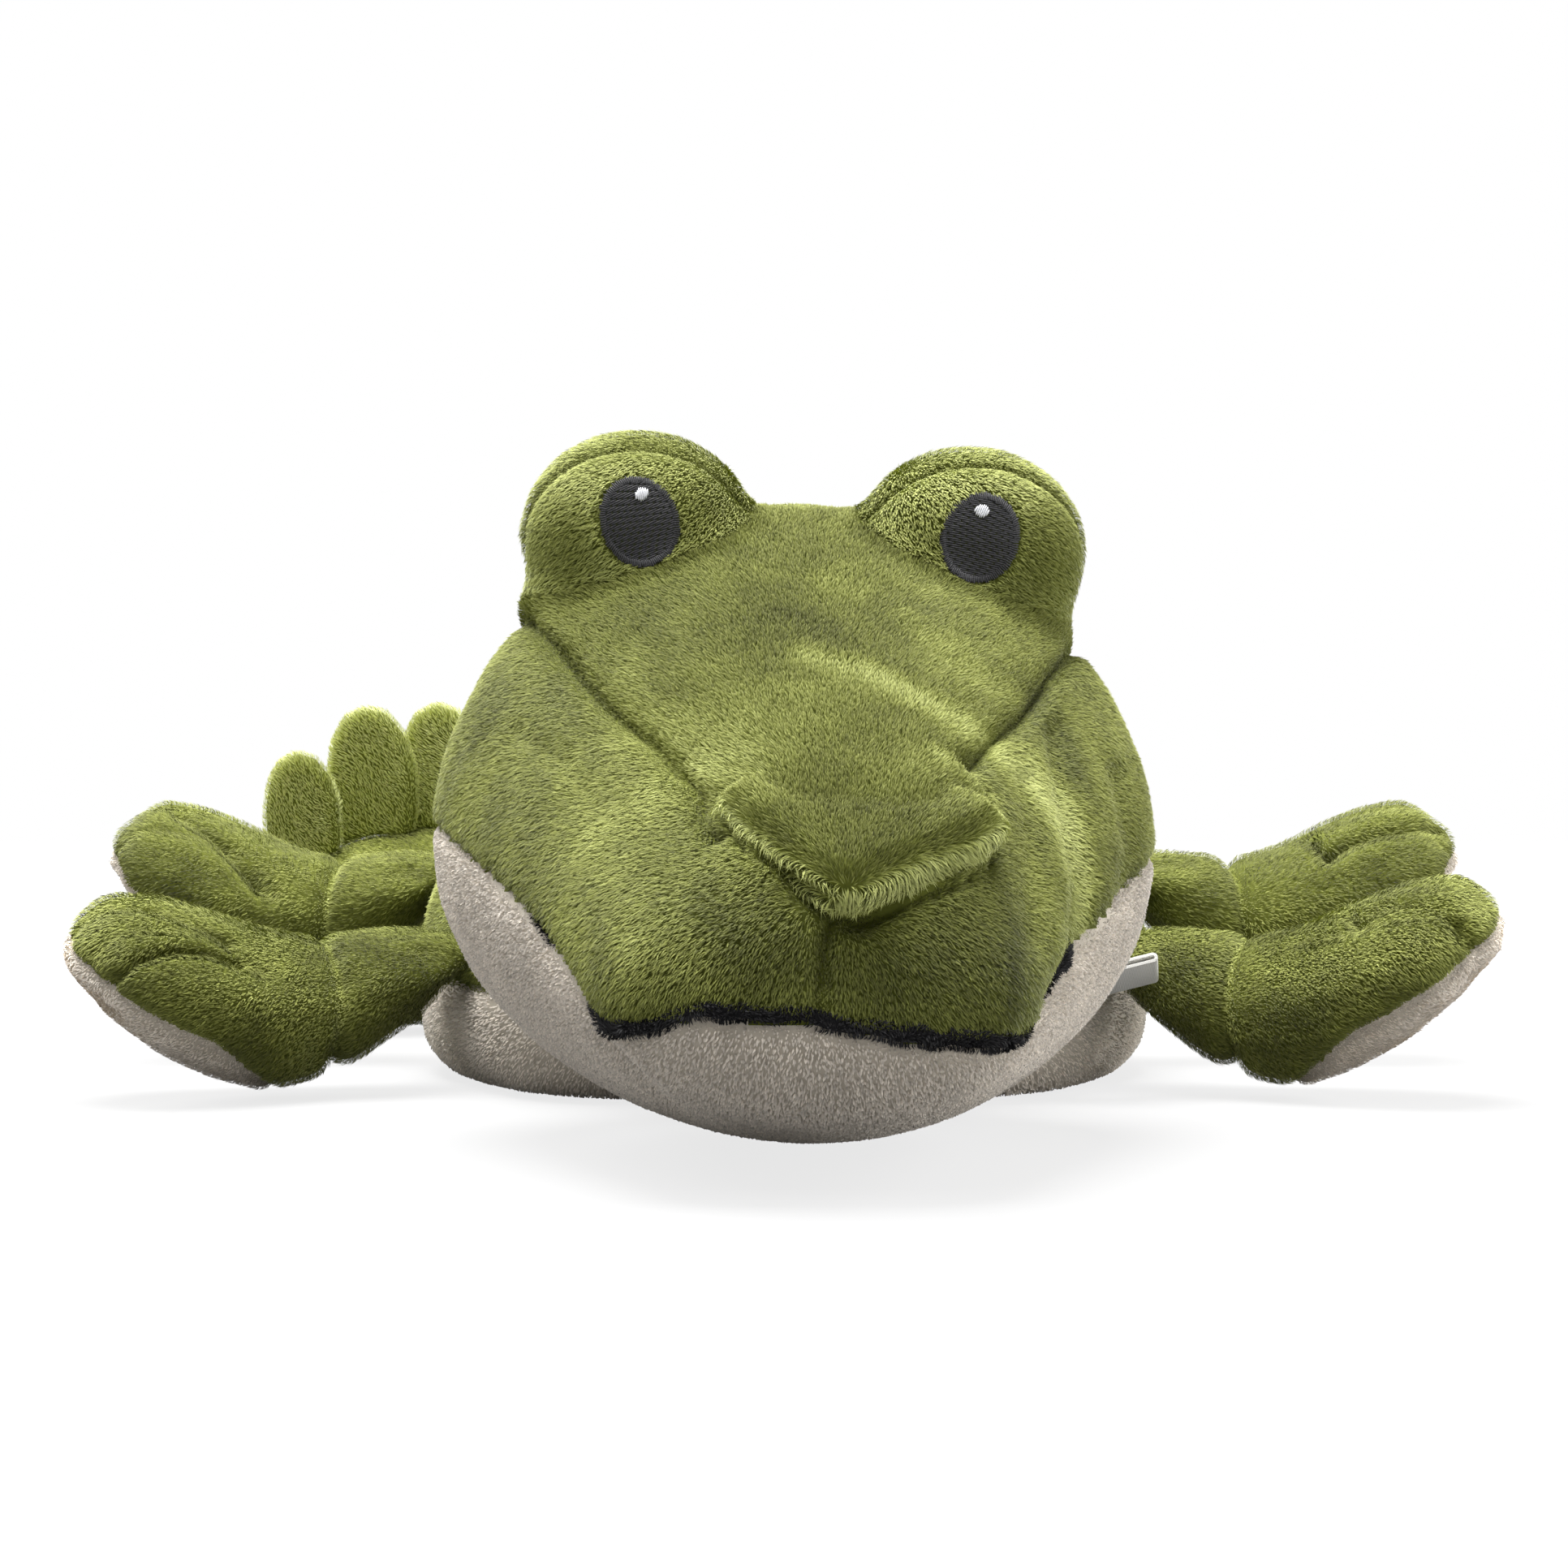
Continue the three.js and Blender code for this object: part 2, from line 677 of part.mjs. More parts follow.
// Folded end of the top panel: a padded triangle that lies on the snout, with its tip over the front
function noseFlap() {
  const base = headFront + 0.18 * headLength;
  const tip = headFront - noseFlapOverhang;
  const baseTop = headForm.top(0, base);
  const tipTop = headForm.top(0, headFront) + coverThickness;
  const slope = Math.atan2(baseTop - tipTop, base - tip);
  const half = noseFlapWidth / 2;
  const reach = noseFlapReach;
  const rim = noseFlapThickness * 0.3;
  const outline = new THREE.Shape();
  outline.moveTo(-half * 0.7, noseFlapTuck);
  outline.lineTo(half * 0.7, noseFlapTuck);
  outline.quadraticCurveTo(half * 0.97, noseFlapTuck * 0.6, half, -reach * 0.12);
  outline.quadraticCurveTo(half * 0.5, -reach * 0.62, half * 0.1, -reach);
  outline.lineTo(-half * 0.1, -reach);
  outline.quadraticCurveTo(-half * 0.5, -reach * 0.62, -half, -reach * 0.12);
  outline.quadraticCurveTo(-half * 0.97, noseFlapTuck * 0.6, -half * 0.7, noseFlapTuck);
  const geometry = new THREE.ExtrudeGeometry(outline, {
    depth: noseFlapThickness - 2 * rim,
    bevelThickness: rim,
    bevelSize: rim,
    bevelOffset: -rim,
    bevelSegments: 1,
    curveSegments: 4,
  });
  geometry.translate(0, 0, rim - noseFlapThickness * 0.45);
  geometry.rotateZ(-THREE.MathUtils.degToRad(noseFlapTurn));
  geometry.rotateX(slope);
  const seatY = base - coverThickness;
  geometry.translate(noseFlapShift, seatY, headForm.top(0, seatY));
  return solid(geometry);
}

// One stuffed eye mound on the head, with its stitched eye and highlight
function buildEye(head, name, sign, clear) {
  const x = (sign * eyeSpacing) / 2;
  const rise = headForm.top(x, moundY);
  const centre = new THREE.Vector3(x, moundY, rise);
  function mound(grow) {
    const geometry = new THREE.SphereGeometry(1, moundSides, Math.round(moundSides * ballRowShare));
    geometry.rotateX(Math.PI / 2);
    geometry.scale(moundWidth / 2 + grow, moundDepth / 2 + grow, moundHeight + grow);
    geometry.translate(centre.x, centre.y, centre.z);
    return solid(geometry);
  }
  const shell = mound(0).subtract(mound(-coverThickness)).subtract(clear);
  // The seam round the mound leans forward at its top.
  function half(sense) {
    const block = new THREE.BoxGeometry(2 * far, far, 2 * far);
    block.translate(0, (sense * (far + seamGap)) / 2, 0);
    block.rotateX(THREE.MathUtils.degToRad(moundSeamLean));
    block.translate(centre.x, centre.y - moundDepth * 0.1, centre.z);
    return solid(block);
  }
  addPiece(head, `eye_mound_front_${name}`, shell.intersect(half(-1)), greenPlush);
  addPiece(head, `eye_mound_back_${name}`, shell.intersect(half(1)), greenPlush);
  addPiece(head, `eye_filling_${name}`, mound(-coverThickness - fillingGap).subtract(clear), fibre);

  const eyeCentre = new THREE.Vector3(x, 0, centre.z + moundHeight - eyeDrop);
  // An oval that looks forward, run through the mound's front
  function oval(width, height, up) {
    const geometry = new THREE.CylinderGeometry(1, 1, far, 20);
    geometry.scale(width / 2, 1, height / 2);
    geometry.rotateY(THREE.MathUtils.degToRad(sign * eyeLean));
    geometry.translate(eyeCentre.x, moundY - far / 2, eyeCentre.z + up);
    return solid(geometry);
  }
  const stitched = mound(seamGap + stitchThickness).subtract(mound(seamGap));
  const raised = mound(2 * seamGap + 1.7 * stitchThickness).subtract(mound(2 * seamGap + stitchThickness));
  addPiece(head, `stitched_eye_${name}`, stitched.intersect(oval(eyeWidth, eyeHeight, 0)), blackThread);
  const glint = raised.intersect(oval(highlightSize, highlightSize, eyeHeight * 0.29));
  addPiece(head, `eye_highlight_${name}`, glint, whiteThread);
}

// Where a leg leaves the body, and which way it points
function legRoot(place, side) {
  const splay = THREE.MathUtils.degToRad(place.splay);
  const half = bodyForm.halfWidth(place.y, place.height);
  return {
    x: side * (half + legRootRadius - legRootSink),
    turn: side > 0 ? -splay : Math.PI + splay,
  };
}

// Room for a leg's pinched root to turn in, cut into the body's side
function legSocket(place, side) {
  const root = legRoot(place, side);
  const radius = legRootRadius + legRootClearance;
  const geometry = new THREE.CylinderGeometry(radius, radius, legRootWidth + 4 * legRootRadius, socketSides);
  geometry.rotateZ(root.turn);
  geometry.translate(root.x, place.y, place.height);
  return solid(geometry);
}

// Leg form along its own x: reach, half width, half height and level above the root
const pawReach = legLength - wristReach;
const legSizesAt = between([
  [0, legRootWidth * 0.47, legRootRadius, 0],
  [wristReach * 0.28, legRootWidth * 0.53, legRootRadius * 1.9, pawThickness * -0.11],
  [wristReach * 0.58, pawWidth * 0.36, pawThickness * 0.37, pawThickness * -0.21],
  [wristReach, pawWidth * 0.36, pawThickness * 0.4, pawThickness * -0.31],
  [wristReach + pawReach * 0.2, pawWidth * 0.44, pawThickness * 0.48, pawThickness * -0.33],
  [wristReach + pawReach * 0.45, pawWidth * 0.5, pawThickness * 0.5, pawThickness * -0.17],
  [wristReach + pawReach * 0.7, pawWidth * 0.5, pawThickness * 0.43, pawThickness * 0.03],
  [wristReach + pawReach * 0.88, pawWidth * 0.4, pawThickness * 0.29, pawThickness * 0.17],
  [legLength, pawWidth * 0.16, pawThickness * 0.1, pawThickness * 0.2],
]);

function legBody(side, inset, sides) {
  const list = [];
  const addRing = (reach, half, height, level) => {
    const bend = THREE.MathUtils.clamp(reach / wristReach, 0, 1);
    const roll = side * bend * THREE.MathUtils.degToRad(pawRoll);
    const ring = [];
    for (let index = 0; index < sides; index += 1) {
      const angle = (2 * Math.PI * index) / sides;
      const across = Math.max(half - inset, 0.6) * Math.cos(angle);
      const up = Math.max(height - inset, 0.6) * Math.sin(angle);
      ring.push(new THREE.Vector3(
        reach,
        across * Math.cos(roll) - up * Math.sin(roll),
        level + across * Math.sin(roll) + up * Math.cos(roll),
      ));
    }
    list.push(ring);
  };
  // The root is a rounded edge about the seam line that the leg turns on.
  for (const angle of [80, 40]) {
    const turn = THREE.MathUtils.degToRad(angle);
    const radius = legRootRadius - inset;
    addRing(-radius * Math.sin(turn), legRootWidth * 0.45, radius * Math.cos(turn) + inset, 0);
  }
  for (let row = 0; row <= legRings; row += 1) {
    const reach = (legLength * row) / legRings;
    addRing(row === legRings ? reach - inset : reach, ...legSizesAt(reach));
  }
  return skin(list);
}

function buildLeg(place, side) {
  const name = `${place.name}_${side > 0 ? 'left' : 'right'}`;
  const root = legRoot(place, side);
  const leg = new THREE.Group();
  const outer = legBody(side, 0, legSides);
  const inner = legBody(side, coverThickness, legSides / 2);
  const shell = outer.subtract(inner);
  const sleeve = box([-far, -far, -far], [wristReach - seamGap / 2, far, far]);
  const paw = box([wristReach + seamGap / 2, -far, -far], [far, far, far]);
  // The sole's edge climbs from the heel to the toes.
  const heel = new THREE.Vector2(wristReach + heelSetback, -pawThickness * 0.82 + soleThickness);
  const toe = new THREE.Vector2(legLength, toeSeamHeight);
  const rise = Math.atan2(toe.y - heel.y, toe.x - heel.x);
  function half(sign) {
    const block = new THREE.BoxGeometry(far, far, far);
    block.translate(0, 0, (sign * (far + seamGap)) / 2);
    block.rotateX(side * THREE.MathUtils.degToRad(pawRoll));
    block.rotateY(-rise);
    block.translate(heel.x, 0, heel.y);
    return solid(block);
  }
  addPiece(leg, `${name}_leg_sleeve`, shell.intersect(sleeve), greenPlush);
  addPiece(leg, `${name}_paw_top`, shell.intersect(paw).intersect(half(1)), greenPlush);
  addPiece(leg, `${name}_paw_sole`, shell.intersect(paw).intersect(half(-1)), creamPlush);
  addPiece(leg, `${name}_leg_filling`, legBody(side, coverThickness + fillingGap, legSides / 2), fibre);
  // The pieces are drawn about the root, so the leg goes to its place with all of them in it.
  leg.position.set(root.x, place.y, place.height);
  leg.rotation.z = root.turn;
  toy.add(leg);
}

function buildTail() {
  const outer = tailBody(0, tailSides);
  const inner = tailBody(coverThickness, tailSides / 2);
  // The cover is open at its root, where the filling goes in.
  const end = tailRoot.clone();
  end.y -= tailBallRadius;
  const mouth = ball(end, tailBallRadius * 0.4, tailSides);
  addPiece(toy, 'tail_cover', outer.subtract(inner).subtract(mouth), greenPlush);
  addPiece(toy, 'tail_filling', tailBody(coverThickness + fillingGap, tailSides / 2), fibre);
  const clear = tailBody(-seamGap, tailSides);
  // The scutes stand a little across the tail, so they overlap like shingles.
  const up = new THREE.Vector3(0, 0, 1);
  const turn = -THREE.MathUtils.degToRad(scuteTurn);
  tailScutePlaces.forEach((share, index) => {
    const centre = tailCentre(share);
    const place = centre.setZ(centre.z + tailThicknessAt(share)[0]);
    const height = scuteHeight * tailScuteTaper ** Math.max(0, index + 1 - tailScuteFull);
    const piece = scute(place, tailPath.getTangentAt(share).applyAxisAngle(up, turn), height).subtract(clear);
    addPiece(toy, `tail_scute_${index + 1}`, piece, greenPlush);
  });
}

buildBody();
buildPack();
buildHead();
for (const place of legPlaces) {
  buildLeg(place, 1);
  buildLeg(place, -1);
}
buildTail();

export default toy;
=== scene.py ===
import json
import math

import bmesh
import bpy
import numpy as np
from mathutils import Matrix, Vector, noise
from mathutils.bvhtree import BVHTree


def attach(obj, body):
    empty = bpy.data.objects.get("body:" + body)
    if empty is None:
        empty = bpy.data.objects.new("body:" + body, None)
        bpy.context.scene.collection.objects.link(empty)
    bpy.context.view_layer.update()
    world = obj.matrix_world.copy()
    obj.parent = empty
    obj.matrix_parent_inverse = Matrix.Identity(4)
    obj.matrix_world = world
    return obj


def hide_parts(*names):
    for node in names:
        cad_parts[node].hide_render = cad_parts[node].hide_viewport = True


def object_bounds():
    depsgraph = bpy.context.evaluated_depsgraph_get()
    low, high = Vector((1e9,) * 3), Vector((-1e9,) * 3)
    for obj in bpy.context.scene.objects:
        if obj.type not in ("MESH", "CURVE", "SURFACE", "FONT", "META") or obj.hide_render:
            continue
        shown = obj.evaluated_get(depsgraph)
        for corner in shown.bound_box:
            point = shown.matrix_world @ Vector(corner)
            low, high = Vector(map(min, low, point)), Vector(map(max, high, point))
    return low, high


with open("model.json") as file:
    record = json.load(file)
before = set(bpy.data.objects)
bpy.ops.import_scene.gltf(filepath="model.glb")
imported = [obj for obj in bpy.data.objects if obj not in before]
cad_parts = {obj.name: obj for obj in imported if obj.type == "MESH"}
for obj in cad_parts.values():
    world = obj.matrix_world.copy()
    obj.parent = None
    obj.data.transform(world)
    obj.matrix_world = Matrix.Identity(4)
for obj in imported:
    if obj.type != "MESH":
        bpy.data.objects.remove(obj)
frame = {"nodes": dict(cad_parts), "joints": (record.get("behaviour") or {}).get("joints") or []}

scene = bpy.context.scene
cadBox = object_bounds()
mm = 0.001
joints = {joint["name"]: joint for joint in frame["joints"]}
# without a seed of its own the noise would differ at each run
noise.seed_set(3)


# camera, floor and light

cameraPlace = {
    "distance": 690 * mm,
    "height": 70 * mm,
    "focalPixels": 3720,
    "framePixels": 1932,
    "sensor": 36,
    "clipStart": 10 * mm,
}


def addCamera():
    lens = cameraPlace["focalPixels"] / cameraPlace["framePixels"] * cameraPlace["sensor"]
    bpy.ops.object.camera_add(
        location=(0, -cameraPlace["distance"], cameraPlace["height"]), rotation=(math.pi / 2, 0, 0)
    )
    camera = bpy.context.object
    camera.data.sensor_width = cameraPlace["sensor"]
    camera.data.lens = lens
    camera.data.clip_start = cameraPlace["clipStart"]
    scene.camera = camera


studio = {
    "floorSize": 6.0,
    "floorDrop": 0.4 * mm,
    "worldLight": 0.13,
    "floorTone": 0.3,
    "floorBounce": 0.17,
    "floorGlow": 1.12,
    "glowShare": 0.7,
    "glowRun": (0.5, 1.1),
    "lampAim": (0, 0, 0.06),
    "lamps": [
        # name, place, size, watts: all look at the middle of the toy
        ("overhead", (-0.15, 0.15, 1.25), 1.0, 46.0),
        ("backLeft", (-0.75, 0.85, 0.6), 0.6, 17.0),
        ("backRight", (0.9, 0.65, 0.4), 0.6, 16.0),
        ("frontTop", (-0.25, -0.7, 1.15), 0.9, 7.0),
        ("lowRight", (1.0, -0.4, 0.12), 0.4, 4.0),
    ],
}


def addStudio():
    bpy.ops.mesh.primitive_plane_add(size=studio["floorSize"], location=(0, 0, -studio["floorDrop"]))
    floor = bpy.context.object
    floor.name = "studioFloor"
    floor.data.materials.append(floorMaterial())
    for name, place, size, power in studio["lamps"]:
        bpy.ops.object.light_add(type="AREA", location=place)
        lamp = bpy.context.object
        lamp.name = name
        lamp.data.shape = "DISK"
        lamp.data.size = size
        lamp.data.energy = power
        aim = Vector(studio["lampAim"]) - Vector(place)
        lamp.rotation_euler = aim.to_track_quat("-Z", "Y").to_euler()
    world = bpy.data.worlds.new("studioWorld")
    scene.world = world
    world.use_nodes = True
    tree = world.node_tree
    lit = tree.nodes["Background"]
    lit.inputs["Color"].default_value = white
    lit.inputs["Strength"].default_value = studio["worldLight"]
    shown = addNode(tree, "Background", {"Color": white})
    mix = addNode(tree, "MixShader", {"Fac": seenRays(tree), 1: lit.outputs[0], 2: shown.outputs[0]})
    tree.links.new(mix.outputs[0], tree.nodes["World Output"].inputs["Surface"])
    scene.view_settings.view_transform = "Standard"
    print("studio ready")


def seenRays(tree):
    # 1 for what the camera sees itself, in a mirror or through glass
    rays = addNode(tree, "LightPath", {})
    total = rays.outputs["Is Camera Ray"]
    for kind in ("Is Glossy Ray", "Is Transmission Ray"):
        total = addNode(tree, "Math", {0: total, 1: rays.outputs[kind]}, operation="MAXIMUM").outputs[0]
    return total


def floorMaterial():
    material, tree, shader = newMaterial("studioFloorWhite", (studio["floorTone"],) * 3, 0.9)
    seen = seenRays(tree)
    bounce, full = studio["floorBounce"], studio["floorTone"]
    tone = addNode(tree, "MapRange", {"Value": seen, "To Min": bounce, "To Max": full})
    tree.links.new(tone.outputs[0], shader.inputs["Base Color"])
    glow = addNode(tree, "Emission", {"Color": white, "Strength": studio["floorGlow"]})
    # near the toy the floor takes its shadow, and far off it is plain white
    place = addNode(tree, "TexCoord", {})
    away = addNode(tree, "VectorMath", {0: place.outputs["Object"]}, operation="LENGTH")
    near, far = studio["glowRun"]
    run = addNode(tree, "MapRange", {"Value": away.outputs["Value"], "From Min": near, "From Max": far,
                                     "To Min": studio["glowShare"]})
    share = addNode(tree, "Math", {0: seen, 1: run.outputs[0]}, operation="MULTIPLY")
    mix = addNode(tree, "MixShader", {"Fac": share.outputs[0], 1: shader.outputs[0], 2: glow.outputs[0]})
    tree.links.new(mix.outputs[0], tree.nodes["Material Output"].inputs["Surface"])
    return material


# materials

white = (1, 1, 1, 1)


def newMaterial(name, colour, roughness, specular=0.25):
    material = bpy.data.materials.new(name)
    material.use_nodes = True
    shader = material.node_tree.nodes["Principled BSDF"]
    shader.inputs["Base Color"].default_value = (*colour, 1)
    shader.inputs["Roughness"].default_value = roughness
    shader.inputs["Specular IOR Level"].default_value = specular
    return material, material.node_tree, shader


def addNode(tree, kind, inputs, **settings):
    # each input is a plain value, or another node's output to link
    node = tree.nodes.new("ShaderNode" + kind)
    for name, value in settings.items():
        setattr(node, name, value)
    for name, value in inputs.items():
        if isinstance(value, bpy.types.NodeSocket):
            tree.links.new(value, node.inputs[name])
        else:
            node.inputs[name].default_value = value
    return node


def addRamp(tree, source, stops):
    ramp = addNode(tree, "ValToRGB", {"Fac": source})
    elements = ramp.color_ramp.elements
    if len(stops) == 3:
        elements.new(0.5)
    for element, (position, colour) in zip(elements, stops):
        element.position = position
        element.color = (*colour, 1)
    return ramp.outputs["Color"]


def addBump(tree, shader, height, strength, distance):
    bump = addNode(tree, "Bump", {"Strength": strength, "Distance": distance * mm, "Height": height})
    tree.links.new(bump.outputs[0], shader.inputs["Normal"])


def grainNode(tree, scale, detail):
    place = addNode(tree, "TexCoord", {}).outputs["Object"]
    grain = addNode(tree, "TexNoise", {"Vector": place, "Scale": scale, "Detail": detail})
    return grain.outputs["Fac"]


def clothMaterial(name, low, high, scale):
    material, tree, shader = newMaterial(name, high, 0.95)
    grain = grainNode(tree, scale, 4)
    tree.links.new(addRamp(tree, grain, [(0.3, low), (0.7, high)]), shader.inputs["Base Color"])
    addBump(tree, shader, grain, 0.4, 0.4)
    return material


nap = {"sheenRoughness": 0.4, "contrast": 1.3, "paleFrom": 0.6, "paleMost": 0.45}


def pileMaterial(name, root, middle, tip, sheen, glow):
    material, tree, shader = newMaterial(name, middle, 0.75)
    shader.inputs["Sheen Weight"].default_value = sheen
    shader.inputs["Sheen Roughness"].default_value = nap["sheenRoughness"]
    shader.inputs["Sheen Tint"].default_value = (*glow, 1)
    strand = addNode(tree, "UVMap", {}, uv_map="OFBake")
    parts = addNode(tree, "SeparateXYZ", {"Vector": strand.outputs["UV"]})
    # each blade is darker at the root, painted shade deep in the pile, and paler towards the tip; the tone,
    # which carries random patches and painted light and shade, then scales the colour
    colour = addRamp(tree, parts.outputs["Y"], [(0, root), (0.5, middle), (1, tip)])
    double = addNode(tree, "Math", {0: parts.outputs["X"], 1: 2}, operation="MULTIPLY")
    depth = addNode(tree, "Math", {0: double.outputs[0], 1: nap["contrast"]}, operation="POWER")
    tone = addNode(tree, "Mix", {"Factor": 1.0, "A": colour, "B": depth.outputs[0]},
                   data_type="RGBA", blend_type="MULTIPLY")
    # where the tone runs high, as on painted highlights, the colour turns towards the pale sheen colour
    paling = addNode(tree, "MapRange", {"Value": parts.outputs["X"], "From Min": nap["paleFrom"],
                                        "To Max": nap["paleMost"]})
    pale = addNode(tree, "Mix", {"Factor": paling.outputs[0], "A": tone.outputs["Result"], "B": (*glow, 1)},
                   data_type="RGBA")
    tree.links.new(pale.outputs["Result"], shader.inputs["Base Color"])
    return material


greenCloth = clothMaterial("greenBacking", (0.105, 0.12, 0.017), (0.148, 0.165, 0.025), 400)
creamCloth = clothMaterial("creamBacking", (0.5, 0.45, 0.37), (0.6, 0.54, 0.45), 400)
blackCloth = clothMaterial("blackFelt", (0.008, 0.008, 0.009), (0.02, 0.019, 0.02), 700)
# pile: colours of root, middle and tip, sheen, and the pale colour of its sheen and of its painted highlights
greenPile = pileMaterial(
    "greenPile", (0.128, 0.146, 0.024), (0.182, 0.202, 0.037), (0.292, 0.308, 0.085), 0.23, (0.6, 0.62, 0.33))
# a lighter copy of the green pile, for the scutes: painted light for the light that shines through them
paintedGlowPile = pileMaterial(
    "greenPileWithPaintedGlow", (0.2, 0.22, 0.045), (0.3, 0.322, 0.075), (0.45, 0.462, 0.18), 0.3, (0.66, 0.67, 0.44))
creamPile = pileMaterial(
    "creamPile", (0.6, 0.54, 0.45), (0.76, 0.69, 0.6), (0.85, 0.79, 0.7), 0.2, (0.9, 0.87, 0.82))
blackPile = pileMaterial(
    "blackPile", (0.006, 0.006, 0.007), (0.012, 0.012, 0.013), (0.03, 0.029, 0.03), 0.05, (0.1, 0.1, 0.1))


# making soft forms

def pick(*pieces):
    bpy.ops.object.select_all(action="DESELECT")
    for piece in pieces:
        piece.select_set(True)
    bpy.context.view_layer.objects.active = pieces[-1]


def settle(piece):
    pick(piece)
    for modifier in list(piece.modifiers):
        bpy.ops.object.modifier_apply(modifier=modifier.name)


def addPiece(name, mesh):
    piece = bpy.data.objects.new(name, mesh)
    scene.collection.objects.link(piece)
    return piece


def smoothFaces(mesh):
    mesh.polygons.foreach_set("use_smooth", [True] * len(mesh.polygons))


def weigh(form, name, weights):
    group = form.vertex_groups.new(name=name)
    for index in np.nonzero(weights > 0)[0]:
        group.add([int(index)], float(weights[index]), "REPLACE")


def declare(piece, body, slot, *replaced, fill=None):
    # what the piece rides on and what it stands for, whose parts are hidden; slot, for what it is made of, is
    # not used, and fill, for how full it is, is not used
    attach(piece, body)
    if replaced:
        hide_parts(*replaced)


def nodeCorners(name):
    return np.array([vertex.co for vertex in frame["nodes"][name].data.vertices])


def copyNode(name, grow=0.0):
    copy = addPiece(name + "Copy", frame["nodes"][name].data.copy())
    pick(copy)
    bpy.ops.object.mode_set(mode="EDIT")
    bpy.ops.mesh.select_all(action="SELECT")
    bpy.ops.mesh.remove_doubles(threshold=forms["weld"] * mm)
    bpy.ops.object.mode_set(mode="OBJECT")
    copy.data.materials.clear()
    if grow:
        swell = copy.modifiers.new("swell", "DISPLACE")
        swell.mid_level = 0
        swell.strength = grow
        settle(copy)
    return copy


def joinPieces(name, pieces):
    pick(*pieces)
    if len(pieces) > 1:
        bpy.ops.object.join()
    joined = bpy.context.object
    joined.name = name
    joined.data.name = name
    return joined


forms = {"weld": 0.02, "backing": 3.4, "easeFactor": 0.5, "restHeight": 0.6}


def softForm(name, covers, fillings=(), voxel=3.0, hull=False, ease=6, single=True, extra=()):
    # one closed form from the covers and the filling that backs them
    parts = [*extra, *(copyNode(cover) for cover in covers)]
    parts += [copyNode(filling, forms["backing"] * mm) for filling in fillings]
    form = joinPieces(name, parts)
    if hull:
        bpy.ops.object.mode_set(mode="EDIT")
        bpy.ops.mesh.select_all(action="SELECT")
        bpy.ops.mesh.convex_hull()
        bpy.ops.object.mode_set(mode="OBJECT")
    return remesh(form, voxel, ease, single)


def remesh(form, voxel, ease, single=True):
    pick(form)
    form.data.remesh_voxel_size = voxel * mm
    bpy.ops.object.voxel_remesh()
    if single:
        keepOuter(form)
    soften(form, ease)
    smoothFaces(form.data)
    return form


def soften(form, times, group=""):
    easing = form.modifiers.new("ease", "SMOOTH")
    easing.factor = forms["easeFactor"]
    easing.iterations = times
    easing.vertex_group = group
    settle(form)


def keepOuter(form):
    # a remesh can leave small closed bits inside, which are dropped
    bm = bmesh.new()
    bm.from_mesh(form.data)
    bm.verts.ensure_lookup_table()
    left = set(bm.verts)
    islands = []
    while left:
        stack = [left.pop()]
        island = [stack[0]]
        while stack:
            for edge in stack.pop().link_edges:
                for vert in edge.verts:
                    if vert in left:
                        left.remove(vert)
                        island.append(vert)
                        stack.append(vert)
        islands.append(island)
    islands.sort(key=len)
    loose = [vert for island in islands[:-1] for vert in island]
    if loose:
        bmesh.ops.delete(bm, geom=loose, context="VERTS")
        bm.to_mesh(form.data)
    bm.free()


def readPoints(form):
    points = np.empty(len(form.data.vertices) * 3, np.float32)
    form.data.vertices.foreach_get("co", points)
    normals = np.empty(len(form.data.vertices) * 3, np.float32)
    form.data.vertex_normals.foreach_get("vector", normals)
    return points.reshape(-1, 3).astype(float), normals.reshape(-1, 3).astype(float)


def writePoints(form, points):
    form.data.vertices.foreach_set("co", points.astype(np.float32).ravel())
    form.data.update()


nodeTrees = {}


def meshTree(mesh):
    corners = [vertex.co for vertex in mesh.vertices]
    return BVHTree.FromPolygons(corners, [face.vertices for face in mesh.polygons])


def nodeTree(name):
    if name not in nodeTrees:
        nodeTrees[name] = meshTree(frame["nodes"][name].data)
    return nodeTrees[name]


def nodeDistance(points, name):
    tree = nodeTree(name)
    return np.array([tree.find_nearest(point)[3] for point in points])


def panelGaps(points, names):
    # how far each point is from each panel, so the second smallest is the way to the seam
    return np.stack([nodeDistance(points, name) for name in names], axis=1)


def seamWay(nearer, farther):
    # the way along the surface to the seam of two panels, for a point that may stand off both
    return np.sqrt(np.maximum(farther ** 2 - nearer ** 2, 0))


def seamSide(first, second):
    # the same way with a sign, over zero on the second panel
    return np.where(second < first, seamWay(second, first), -seamWay(first, second))


stuffing = {"pressure": 4.0, "frames": 20, "quality": 4, "mass": 0.3}
simulated = []


def stuff(form, cap, pins):
    # the form waits here until all forms are blown up together
    weigh(form, "seams", pins)
    simulated.append((form, cap * mm))


def stuffAll():
    starts = {}
    for form, _ in simulated:
        starts[form.name] = readPoints(form)[0]
        cloth = form.modifiers.new("stuffing", "CLOTH")
        cloth.settings.quality = stuffing["quality"]
        cloth.settings.mass = stuffing["mass"]
        cloth.settings.use_pressure = True
        cloth.settings.uniform_pressure_force = stuffing["pressure"]
        cloth.settings.effector_weights.gravity = 0
        cloth.settings.vertex_group_mass = "seams"
        cloth.point_cache.frame_end = stuffing["frames"]
    for step in range(1, stuffing["frames"] + 1):
        scene.frame_set(step)
    for form, cap in simulated:
        settle(form)
        points = readPoints(form)[0]
        moved = points - starts[form.name]
        far = np.linalg.norm(moved, axis=1, keepdims=True)
        moved *= np.minimum(1, cap / np.maximum(far, 1e-9))
        writePoints(form, starts[form.name] + moved)
        print("stuffed", form.name, "moved up to", round(float(np.minimum(far, cap).max()) / mm, 2), "mm")
    scene.frame_set(1)


